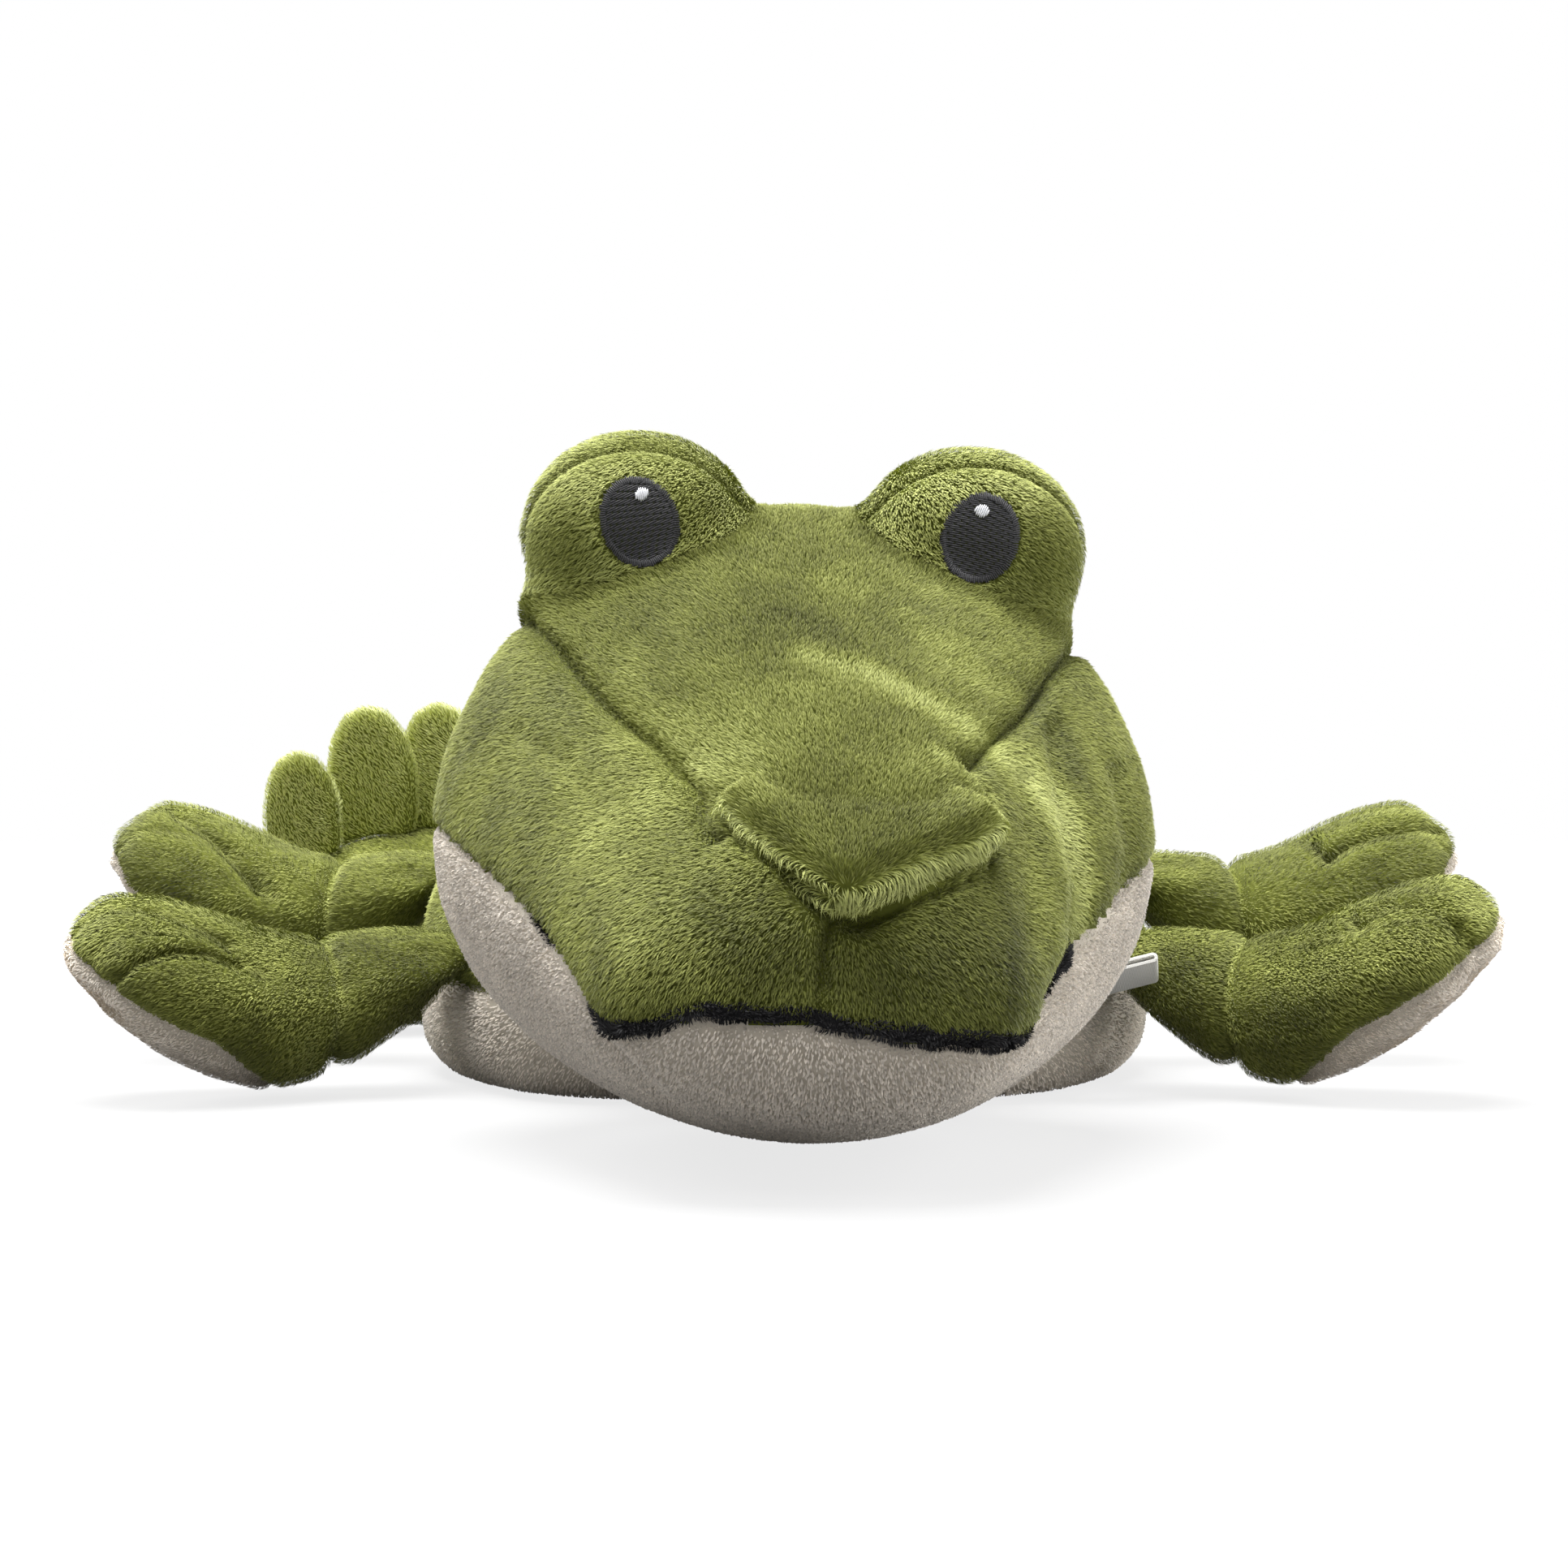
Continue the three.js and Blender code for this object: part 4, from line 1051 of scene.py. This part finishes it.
def layStitches(name, tree, eye, runs, lift, material, slot, *replaced):
    # each run is a short thread between two places on the eye, sewn flat on the plush
    centre, across, upward, normal = eye[:4]
    bm = bmesh.new()
    for start, end in runs:
        spots, outs = [], []
        for share in (0, 0.18, 0.82, 1):
            place = np.array(start) * (1 - share) + np.array(end) * share
            origin = centre + across * place[0] * mm + upward * place[1] * mm
            origin += normal * stitch["rayStart"] * mm
            spot, out = tree.ray_cast(Vector(origin), Vector(-normal))[:2]
            spots.append(spot + out * lift * mm)
            outs.append(out)
        direction = (spots[-1] - spots[0]).normalized()
        rings = []
        for spot, out, size in zip(spots, outs, (0.3, 1, 1, 0.3)):
            side = out.cross(direction).normalized() * stitch["width"] * size * mm
            top, bottom = spot + out * stitch["height"] * size * mm, spot - out * stitch["depth"] * mm
            rings.append([bm.verts.new(corner) for corner in (spot - side, top, spot + side, bottom)])
        for first, second in zip(rings[:-1], rings[1:]):
            for corner in range(4):
                after = (corner + 1) % 4
                bm.faces.new((first[corner], first[after], second[after], second[corner]))
        bm.faces.new(rings[0][::-1])
        bm.faces.new(rings[-1])
    bmesh.ops.recalc_face_normals(bm, faces=bm.faces)
    mesh = bpy.data.meshes.new(name)
    bm.to_mesh(mesh)
    bm.free()
    smoothFaces(mesh)
    mesh.materials.append(material)
    declare(addPiece(name, mesh), "head", slot, *replaced)


def sewEyes(head):
    tree = meshTree(head.data)
    slant = stitch["slant"]
    rng = np.random.default_rng(51)
    for side in eyeSides:
        eye = eyeFrame(side)
        halfWide, halfHigh = eye[4] / mm
        runs = []
        level = -halfHigh
        row = 0
        while level < halfHigh:
            room = 1 - (level / halfHigh) ** 2
            edge = halfWide * math.sqrt(max(room, 0)) * stitch["fillReach"]
            spot = -edge - stitch["run"] * ((row * stitch["rowShift"]) % 1)
            while spot < edge and room > 0.02:
                first, last = max(spot, -edge), min(spot + stitch["run"], edge) - stitch["between"]
                if last - first > stitch["shortest"]:
                    runs.append(((first, level + slant * first), (last, level + slant * last)))
                spot += stitch["run"]
            level += stitch["rowPitch"]
            row += 1
        layStitches("eyeThread_" + side, tree, eye, runs, stitch["lift"], blackThread, "black_thread",
                    "stitched_eye_" + side)
        ring = []
        for number in range(stitch["ring"]):
            angle = 2 * math.pi * number / stitch["ring"]
            inner, outer = 0.84 + 0.03 * rng.random(), 1.0 + 0.06 * rng.random()
            turn = angle + stitch["ringTurn"]
            ring.append(((halfWide * inner * math.cos(angle), halfHigh * inner * math.sin(angle)),
                         (halfWide * outer * math.cos(turn), halfHigh * outer * math.sin(turn))))
        layStitches("eyeRing_" + side, tree, eye, ring, stitch["ringLift"], blackThread, "black_thread")
        corners = nodeCorners("eye_highlight_" + side)
        offset = (corners.max(axis=0) + corners.min(axis=0)) / 2 - eye[0]
        spotU, spotV = float(offset @ eye[1]) / mm, float(offset @ eye[2]) / mm
        glint = []
        size = stitch["glintSize"]
        for row in range(stitch["glintRows"]):
            height = (row + 0.5) / stitch["glintRows"] * 2 - 1
            edge = size * math.sqrt(1 - height ** 2) * rng.uniform(0.85, 1.12)
            place = spotU + size * height
            glint.append(((place, spotV - edge), (place + stitch["glintSlant"], spotV + edge)))
        layStitches("eyeGlint_" + side, tree, eye, glint, stitch["glintLift"], whiteThread, "white_thread",
                    "eye_highlight_" + side)
    print("eyes sewn")


# black strip in the mouth seam

mouthStrip = {
    "voxel": 0.9,
    "fuzz": 1.4,
    "sink": 0.4,
    "sideSink": 3.4,
    "sideRun": (-176, -165),
    "inside": (0.002, -0.1, 0.045),
    "wave": [(16, 61, 1.3), (5, 62, 0.9)],
    "patch": [(13, 63, 0.9)],
}


def makeMouth():
    strip = softForm("mouthStrip", ["mouth_strip"], voxel=mouthStrip["voxel"], ease=2)
    points = readPoints(strip)[0]
    points[:, 2] += swirls(points, mouthStrip["wave"])[:, 2] * mm + mouthLift(points)
    # at the sides the strip lies deeper in its seam, here more and there less
    back = fade(points[:, 1], mouthStrip["sideRun"])
    inward = np.array(mouthStrip["inside"]) - points
    inward /= np.linalg.norm(inward, axis=1, keepdims=True)
    patchy = 0.7 + swirls(points, mouthStrip["patch"])[:, 0]
    sink = mouthStrip["sink"] + back * np.clip(patchy, 0, 1.2) * mouthStrip["sideSink"]
    points += inward * (sink * mm)[:, None]
    writePoints(strip, points)
    points, normals = readPoints(strip)
    swirl = wander(points, 5, 64)
    outside = smoothStep(np.sum(-inward * normals, axis=1), 0.0, 0.4)
    lengths = mouthStrip["fuzz"] * mm * outside
    tone = 0.5 + 0.3 * swirl[:, 0]
    growPile("mouthFuzz", strip, blackLook, "head", 65, lengths, along(normals, swirl), tone)
    strip.data.materials.append(blackCloth)
    declare(strip, "head", "black_thread", "mouth_strip")
    print("mouth strip laid")


# body

bodyPanels = ["back_cover", "belly_cover"]
bodyPlush = {
    "voxel": 4.0,
    "cap": 3.0,
    "pileLength": 2.3,
    "bellyPile": 1.2,
    "seamDepth": 1.8,
    "seamWidth": 2.4,
    "share": 0.3,
    "bellyShare": 0.3 * 1.5,
    "floorHold": 2,
    "seamHold": (1.0, 4.0),
    "seamFade": (0.4, 4.0),
    "greenFade": (-0.2, 2.0),
    "creamFade": (0, 1.6),
    "swirl": [(24, 5, 0.5), (8, 6, 0.4)],
    "patch": [(18, 7, 0.26)],
}
pocketRoom = {"low": (-48.7, 7.5, -2.0), "high": (48.7, 108.5, 28.5), "rim": 0.3}


def makeBodyForm():
    body = softForm("bodyPlush", bodyPanels, voxel=bodyPlush["voxel"], hull=True)
    points = readPoints(body)[0]
    gaps = np.sort(panelGaps(points, bodyPanels), axis=1)
    low = points[:, 2] < bodyPlush["floorHold"] * mm
    stuff(body, bodyPlush["cap"], np.maximum(low, 1 - fade(gaps[:, 1], bodyPlush["seamHold"])))
    return body


def pocketBox():
    return np.array(pocketRoom["low"]) * mm, np.array(pocketRoom["high"]) * mm


def cutPocket(body):
    low, high = pocketBox()
    bpy.ops.object.select_all(action="DESELECT")
    bpy.ops.mesh.primitive_cube_add(size=1, location=(low + high) / 2)
    room = bpy.context.object
    room.scale = high - low
    cut = body.modifiers.new("pocket", "BOOLEAN")
    cut.operation = "DIFFERENCE"
    cut.object = room
    settle(body)
    bpy.data.objects.remove(room)


def dressBody(body):
    refine(body)
    points, normals = readPoints(body)
    gaps = panelGaps(points, bodyPanels)
    seam = bell(seamWay(gaps.min(axis=1), gaps.max(axis=1)), bodyPlush["seamWidth"] * mm)
    points -= normals * (seam * bodyPlush["seamDepth"] * mm)[:, None]
    writePoints(body, offFloor(points))
    cutPocket(body)
    points, normals = readPoints(body)
    gaps = panelGaps(points, bodyPanels)
    bellySide = seamSide(gaps[:, 0], gaps[:, 1])
    low, high = pocketBox()
    rim = pocketRoom["rim"] * mm
    inPocket = np.all((points > low - rim) & (points < high + rim), axis=1)
    trim = (0.6 + 0.4 * fade(gaps.max(axis=1), bodyPlush["seamFade"])) * ~inPocket
    green = bodyPlush["pileLength"] * mm * (1 - fade(bellySide, bodyPlush["greenFade"])) * trim
    cream = bodyPlush["bellyPile"] * mm * fade(bellySide, bodyPlush["creamFade"]) * trim
    flow = along(normals, np.array((0, 1, -0.5)) + swirls(points, bodyPlush["swirl"]))
    patch = swirls(points, bodyPlush["patch"])[:, 0]
    share, bellyShare = bodyPlush["share"], bodyPlush["bellyShare"]
    growPile("backPile", body, greenLook, "torso", 21, green, flow, 0.5 + patch, share)
    growPile("bellyPile", body, creamLook, "torso", 22, cream, flow, 0.5 + patch * 0.4, bellyShare)
    paintSides(body, bellySide > 0, [greenCloth, creamCloth])
    declare(body, "torso", "green_plush", *bodyPanels, "body_filling", fill=0.7)
    print("body dressed")


# legs

legNames = ["front_left", "front_right", "rear_left", "rear_right"]
legPlush = {
    "voxel": 2.5,
    "cap": 1.6,
    "pileLength": 2.1,
    "solePile": 1.3,
    "share": {"front": 0.8, "rear": 0.45},
    "seamDepth": 1.2,
    "seamWidth": 2.0,
    "seamHold": (1.0, 3.0),
    "seamFade": (0.4, 3.0),
    "wristDepth": {"front": 0.4, "rear": 2.4},
    "wristWidth": 2.6,
    "underDepth": 1.8,
    "underWidth": 2.2,
    "wristTone": 0.4,
    "wristLine": 0.9,
    "toeDepth": 1.0,
    "toeWidth": 1.8,
    "toeReach": 40,
    "toeRun": 22,
    "toeSpread": 8.0,
    "soleToes": 0.4,
    "gather": 1.3,
    "gathers": 9,
    "gatherRun": (6, 24),
    "droop": {"front_right": 4.5},
    "droopRun": (25, 86),
    "soleLow": 12,
    "lowRun": (4, 30),
    "soleHigh": 2,
    "highRun": (28, 52),
    "swirl": [(18, 8, 0.45), (7, 9, 0.35)],
    "patch": [(15, 10, 0.2), (6, 12, 0.11)],
    # folds between the toes: line in the view, depth in mm, half width in pixels
    "folds": {
        "front_right": [
            ([(144, 1207), (171, 1184), (214, 1171), (261, 1173), (300, 1188)], 3.0, 7),
            ([(84, 1157), (103, 1131), (135, 1115), (171, 1113), (214, 1126), (250, 1141),
              (287, 1163)], 2.6, 7),
            ([(302, 1182), (330, 1195)], 2.4, 14),
        ],
        "front_left": [
            ([(1662, 1132), (1680, 1125), (1710, 1115), (1745, 1114), (1775, 1122), (1797, 1142),
              (1803, 1160)], 3.2, 7),
            ([(1660, 1110), (1690, 1098), (1730, 1092), (1765, 1092)], 1.6, 6),
            ([(1658, 1118), (1668, 1140)], 2.4, 12),
            ([(1592, 1165), (1650, 1155)], 1.0, 6),
        ],
        "rear_right": [
            ([(219, 1000), (261, 1028), (293, 1060), (319, 1092)], 3.0, 8),
            ([(318, 1075), (335, 1100)], 2.4, 12),
        ],
        "rear_left": [
            ([(1602, 1028), (1620, 1042), (1634, 1056)], 2.8, 8),
            ([(1634, 1056), (1660, 1040), (1700, 1025), (1750, 1019), (1797, 1026)], 3.0, 8),
        ],
    },
    # painted light and shade on the legs: line in the view, change of tone, half width in pixels
    "paintedLightLines": {
        "front_right": [
            ([(440, 1190), (530, 1260)], -0.16, 60),
            ([(210, 1290), (330, 1320)], -0.08, 45),
            ([(95, 1125), (170, 1100), (240, 1115), (300, 1150)], 0.16, 14),
            ([(395, 1155), (470, 1150)], 0.1, 16),
        ],
        "front_left": [
            ([(1470, 1200), (1530, 1270)], -0.14, 55),
            ([(1570, 1270), (1700, 1230)], -0.1, 50),
            ([(1600, 1112), (1680, 1085), (1745, 1070), (1830, 1085)], 0.18, 14),
            ([(1440, 1125), (1560, 1120)], 0.16, 14),
        ],
        "rear_right": [([(150, 1060), (300, 1110)], -0.14, 60)],
        "rear_left": [([(1570, 1080), (1760, 1060)], -0.14, 60)],
    },
}


def legParts(leg):
    return [f"{leg}_leg_sleeve", f"{leg}_paw_top", f"{leg}_paw_sole"]


def makeLegForm(leg):
    form = softForm(leg + "_legPlush", legParts(leg), [f"{leg}_leg_filling"], voxel=legPlush["voxel"], ease=4)
    points = readPoints(form)[0]
    gaps = np.sort(panelGaps(points, legParts(leg)), axis=1)
    stuff(form, legPlush["cap"], 1 - fade(gaps[:, 1], legPlush["seamHold"]))
    return form


def legFrame(leg):
    # the leg's root, the way it points, the way its paw faces, and the way across the toes
    joint = joints[leg + "_lift"]
    root = np.array(joint["pos_m"])
    outward = np.cross((0, 0, 1), np.array(joint["axis"]))
    upward = nodeCorners(f"{leg}_paw_top").mean(axis=0) - nodeCorners(f"{leg}_paw_sole").mean(axis=0)
    upward -= outward * (upward @ outward)
    upward /= np.linalg.norm(upward)
    return root, outward, upward, np.cross(outward, upward)


def dressLeg(leg, form):
    refine(form)
    end, body = leg.split("_")[0], leg + "_leg"
    root, outward, upward, across = legFrame(leg)
    points, normals = readPoints(form)
    gaps = panelGaps(points, legParts(leg))
    onPaw = np.argmin(gaps, axis=1) > 0
    local = points - root
    reach, side = local @ outward / mm, local @ across / mm
    # the sole's edge runs low at the wrist and rises a little at the toes
    past = reach - np.percentile(reach[onPaw], 3)
    shift = legPlush["soleLow"] * (1 - smoothStep(past, *legPlush["lowRun"]))
    shift -= legPlush["soleHigh"] * smoothStep(past, *legPlush["highRun"])
    soleSide = seamSide(gaps[:, 1], gaps[:, 2]) - shift * mm
    onSole = onPaw & (soleSide > 0)
    ends = np.sort(np.stack([gaps[:, 0], gaps[:, 1:].min(axis=1)], axis=1), axis=1)
    wrist = seamWay(ends[:, 0], ends[:, 1])
    seam = np.where(onPaw, np.minimum(np.abs(soleSide), wrist), wrist)
    groove = bell(seam, legPlush["seamWidth"] * mm) * legPlush["seamDepth"]
    under = bell(wrist, legPlush["underWidth"] * mm) * smoothStep(-normals[:, 2], 0.2, 0.7)
    groove += legPlush["underDepth"] * under
    groove += legPlush["wristDepth"][end] * bell(wrist, legPlush["wristWidth"] * mm)
    # two stitched lines part the toes
    start = legPlush["toeReach"]
    middle = side[reach > start].mean()
    for offset in (-legPlush["toeSpread"], legPlush["toeSpread"]):
        line = bell(side - middle - offset, legPlush["toeWidth"])
        line *= smoothStep(reach, start, start + legPlush["toeRun"])
        groove += legPlush["toeDepth"] * line * np.where(onSole, legPlush["soleToes"], 1)
    turn = np.arctan2(local @ upward, local @ across)
    gathers = 0.5 + 0.5 * np.cos(legPlush["gathers"] * turn)
    groove += legPlush["gather"] * gathers * (1 - smoothStep(reach, *legPlush["gatherRun"]))
    points -= normals * (groove * mm)[:, None]
    points[:, 2] -= legPlush["droop"].get(leg, 0) * mm * smoothStep(reach, *legPlush["droopRun"])
    writePoints(form, offFloor(points))
    pressFolds(form, legPlush["folds"][leg])

    points, normals = readPoints(form)
    flow = along(normals, outward + np.array((0, 0, -0.4)) + swirls(points, legPlush["swirl"]))
    patch = swirls(points, legPlush["patch"])[:, 0]
    patch += legPlush["wristTone"] * bell(wrist, legPlush["wristLine"] * mm)
    # painted light and shade along lines in the view
    patch += paintLightAndShade(points, normals, legPlush["paintedLightLines"][leg])
    trim = 0.5 + 0.5 * fade(seam, legPlush["seamFade"])
    thick = legPlush["share"][end] * (0.45 + 0.55 * smoothStep(facing(points, normals), -0.25, 0.1))
    green = np.where(onSole, 0, legPlush["pileLength"] * mm) * trim
    cream = np.where(onSole, legPlush["solePile"] * mm, 0) * trim
    growPile(leg + "_legPile", form, greenLook, body, 31, green, flow, 0.5 + patch, thick)
    # the soles' pile is painted lighter than the other cream pile: painted light on the shaded undersides
    growPile(leg + "_solePile", form, creamLook, body, 32, cream, flow, 0.58 + patch * 0.3)
    paintSides(form, onSole, [greenCloth, creamCloth])
    declare(form, body, "green_plush", *legParts(leg), f"{leg}_leg_filling", fill=0.7)
    print(leg, "leg dressed")


# tail

tailPlush = {
    "voxel": 3.0,
    "cap": 2.0,
    "pileLength": 2.3,
    "share": 0.3,
    "swirl": [(18, 13, 0.5), (7, 14, 0.4)],
    "patch": [(16, 15, 0.26)],
}


def makeTailForm():
    form = softForm("tailPlush", ["tail_cover"], ["tail_filling"], voxel=tailPlush["voxel"])
    stuff(form, tailPlush["cap"], np.zeros(len(form.data.vertices)))
    return form


def dressTail(form):
    refine(form)
    points, normals = readPoints(form)
    writePoints(form, offFloor(points))
    flow = along(normals, np.array((-1, 0, -0.5)) + swirls(points, tailPlush["swirl"]))
    tone = 0.5 + swirls(points, tailPlush["patch"])[:, 0]
    length, share = tailPlush["pileLength"] * mm, tailPlush["share"]
    growPile("tailPile", form, greenLook, "tail", 41, length, flow, tone, share)
    form.data.materials.append(greenCloth)
    declare(form, "tail", "green_plush", "tail_cover", "tail_filling", fill=0.7)
    print("tail dressed")


# padded leaf scutes on the back and the tail

scutePlush = {
    "voxel": 1.4,
    "cap": 2.2,
    "pileLength": 2.1,
    "share": 0.5,
    # the scutes' pile is painted lighter, painted light for light shining through them, and lighter still on
    # the rim, a painted rim light
    "tone": 0.92,
    "rimPaintedLight": 0.06,
    "swirl": [(12, 16, 0.6)],
    "patch": [(12, 17, 0.2)],
}
scuteNodes = {f"back_scute_{number}": "torso" for number in range(1, 5)}
scuteNodes.update({f"tail_scute_{number}": "tail" for number in range(1, 7)})


def leafRim(points, normals):
    # 1 on the rim of the leaf and 0 on its two faces
    spread = np.linalg.eigh(np.cov((points - points.mean(axis=0)).T))[1]
    return 1 - smoothStep(np.abs(normals @ spread[:, 0]), 0.35, 0.7)


def makeScuteForm(node):
    form = softForm(node + "_plush", [node], voxel=scutePlush["voxel"], ease=3)
    stuff(form, scutePlush["cap"], leafRim(*readPoints(form)))
    return form


def dressScute(node, form):
    refine(form)
    points, normals = readPoints(form)
    flow = along(normals, np.array((-0.6, 0, 0.8)) + swirls(points, scutePlush["swirl"]))
    # painted light through the scute and a painted rim light on its rim
    tone = scutePlush["tone"] + scutePlush["rimPaintedLight"] * leafRim(points, normals)
    tone += swirls(points, scutePlush["patch"])[:, 0]
    length, share = scutePlush["pileLength"] * mm, scutePlush["share"]
    growPile(node + "_pile", form, leafLook, scuteNodes[node], 71, length, flow, tone, share)
    form.data.materials.append(greenCloth)
    declare(form, scuteNodes[node], "green_plush", node, fill=0.6)


# loop label, pocket, heat pack and flap

def weaveMaterial(name, low, high, pitch):
    material, tree, shader = newMaterial(name, high, 0.9)
    place = addNode(tree, "TexCoord", {}).outputs["Object"]
    # a wave of this scale repeats once in each pitch
    waves = {"Vector": place, "Scale": 0.314 / (pitch * mm), "Distortion": 0.6}
    bands = [addNode(tree, "TexWave", waves, bands_direction=way).outputs["Fac"] for way in ("X", "Y")]
    weave = addNode(tree, "Math", {0: bands[0], 1: bands[1]}, operation="MULTIPLY").outputs[0]
    tree.links.new(addRamp(tree, weave, [(0, low), (1, high)]), shader.inputs["Base Color"])
    addBump(tree, shader, weave, 0.5, 0.2)
    return material


ribbonWeave = weaveMaterial("ribbonWeave", (0.66, 0.65, 0.62), (0.84, 0.83, 0.8), 0.4)
cottonWeave = weaveMaterial("cottonWeave", (0.52, 0.49, 0.42), (0.72, 0.69, 0.62), 0.7)
tapeWeave = weaveMaterial("tapeHooks", (0.4, 0.39, 0.36), (0.62, 0.61, 0.58), 1.0)

fittings = {
    "rounding": 0.3,
    "labelRounding": 0.15,
    "packVoxel": 2.0,
    "packCap": 0.9,
    "flapVoxel": 1.1,
    "flapPile": 1.6,
    "flapTone": 0.5,
    "flapShare": 0.5,
    "flapSwirl": [(12, 18, 0.4)],
    "hemDepth": 0.5,
    "hemWidth": 0.9,
    "hemInset": 4,
}


def roundedCopy(name, node, material, slot, body, width=fittings["rounding"]):
    piece = copyNode(node)
    piece.name = name
    piece.data.name = name
    rounding = piece.modifiers.new("rounding", "BEVEL")
    rounding.width = width * mm
    rounding.segments = 2
    rounding.limit_method = "ANGLE"
    settle(piece)
    bpy.ops.object.shade_smooth_by_angle(angle=math.radians(40))
    piece.data.materials.append(material)
    declare(piece, body, slot, node)
    return piece


def makeFittings():
    label = roundedCopy("loopLabel", "loop_label", ribbonWeave, "ribbon", "torso", fittings["labelRounding"])
    roundedCopy("pocketLining", "pocket_lining", cottonWeave, "cotton", "torso")
    roundedCopy("loopTape", "loop_tape", tapeWeave, "fastener_tape", "torso")
    roundedCopy("hookTape", "hook_tape", tapeWeave, "fastener_tape", "flap")
    print("fittings placed")


def makePackForm():
    pack = softForm("heatPack", ["heat_pack_case"], voxel=fittings["packVoxel"], ease=3)
    normals = readPoints(pack)[1]
    stuff(pack, fittings["packCap"], 1 - smoothStep(np.abs(normals[:, 2]), 0.2, 0.6))
    return pack


def dressPack(pack):
    refine(pack)
    pack.data.materials.append(cottonWeave)
    declare(pack, "heat_pack", "cotton", "heat_pack_case", "grain_filling", fill=0.6)


def dressFlap():
    flap = softForm("pocketFlap", ["pocket_flap"], voxel=fittings["flapVoxel"], ease=2)
    points, normals = readPoints(flap)
    low, high = points.min(axis=0), points.max(axis=0)
    edge = np.minimum(points[:, :2] - low[:2], high[:2] - points[:, :2]).min(axis=1)
    groove = fittings["hemDepth"] * bell(edge - fittings["hemInset"] * mm, fittings["hemWidth"] * mm)
    writePoints(flap, points - normals * (groove * mm)[:, None])
    points, normals = readPoints(flap)
    lengths = smoothStep(-normals[:, 2], 0.2, 0.6) * fittings["flapPile"] * mm
    flow = along(normals, np.array((0, 1.0, 0)) + swirls(points, fittings["flapSwirl"]))
    tone, share = fittings["flapTone"], fittings["flapShare"]
    growPile("flapPile", flap, creamLook, "flap", 81, lengths, flow, tone, share)
    flap.data.materials.append(creamCloth)
    declare(flap, "flap", "cream_plush", "pocket_flap", fill=0.3)


addCamera()
addStudio()
headForm = makeHeadForm()
noseForm = makeNoseForm()
bodyForm = makeBodyForm()
legForms = {leg: makeLegForm(leg) for leg in legNames}
tailForm = makeTailForm()
scuteForms = {node: makeScuteForm(node) for node in scuteNodes}
packForm = makePackForm()
stuffAll()
dressHead(headForm)
dressNose(noseForm, headForm)
sewEyes(headForm)
makeMouth()
dressBody(bodyForm)
for legName, legForm in legForms.items():
    dressLeg(legName, legForm)
dressTail(tailForm)
for scuteName, scuteForm in scuteForms.items():
    dressScute(scuteName, scuteForm)
print("scutes dressed")
makeFittings()
dressPack(packForm)
dressFlap()
print("blades in all:", pileCount["blades"])
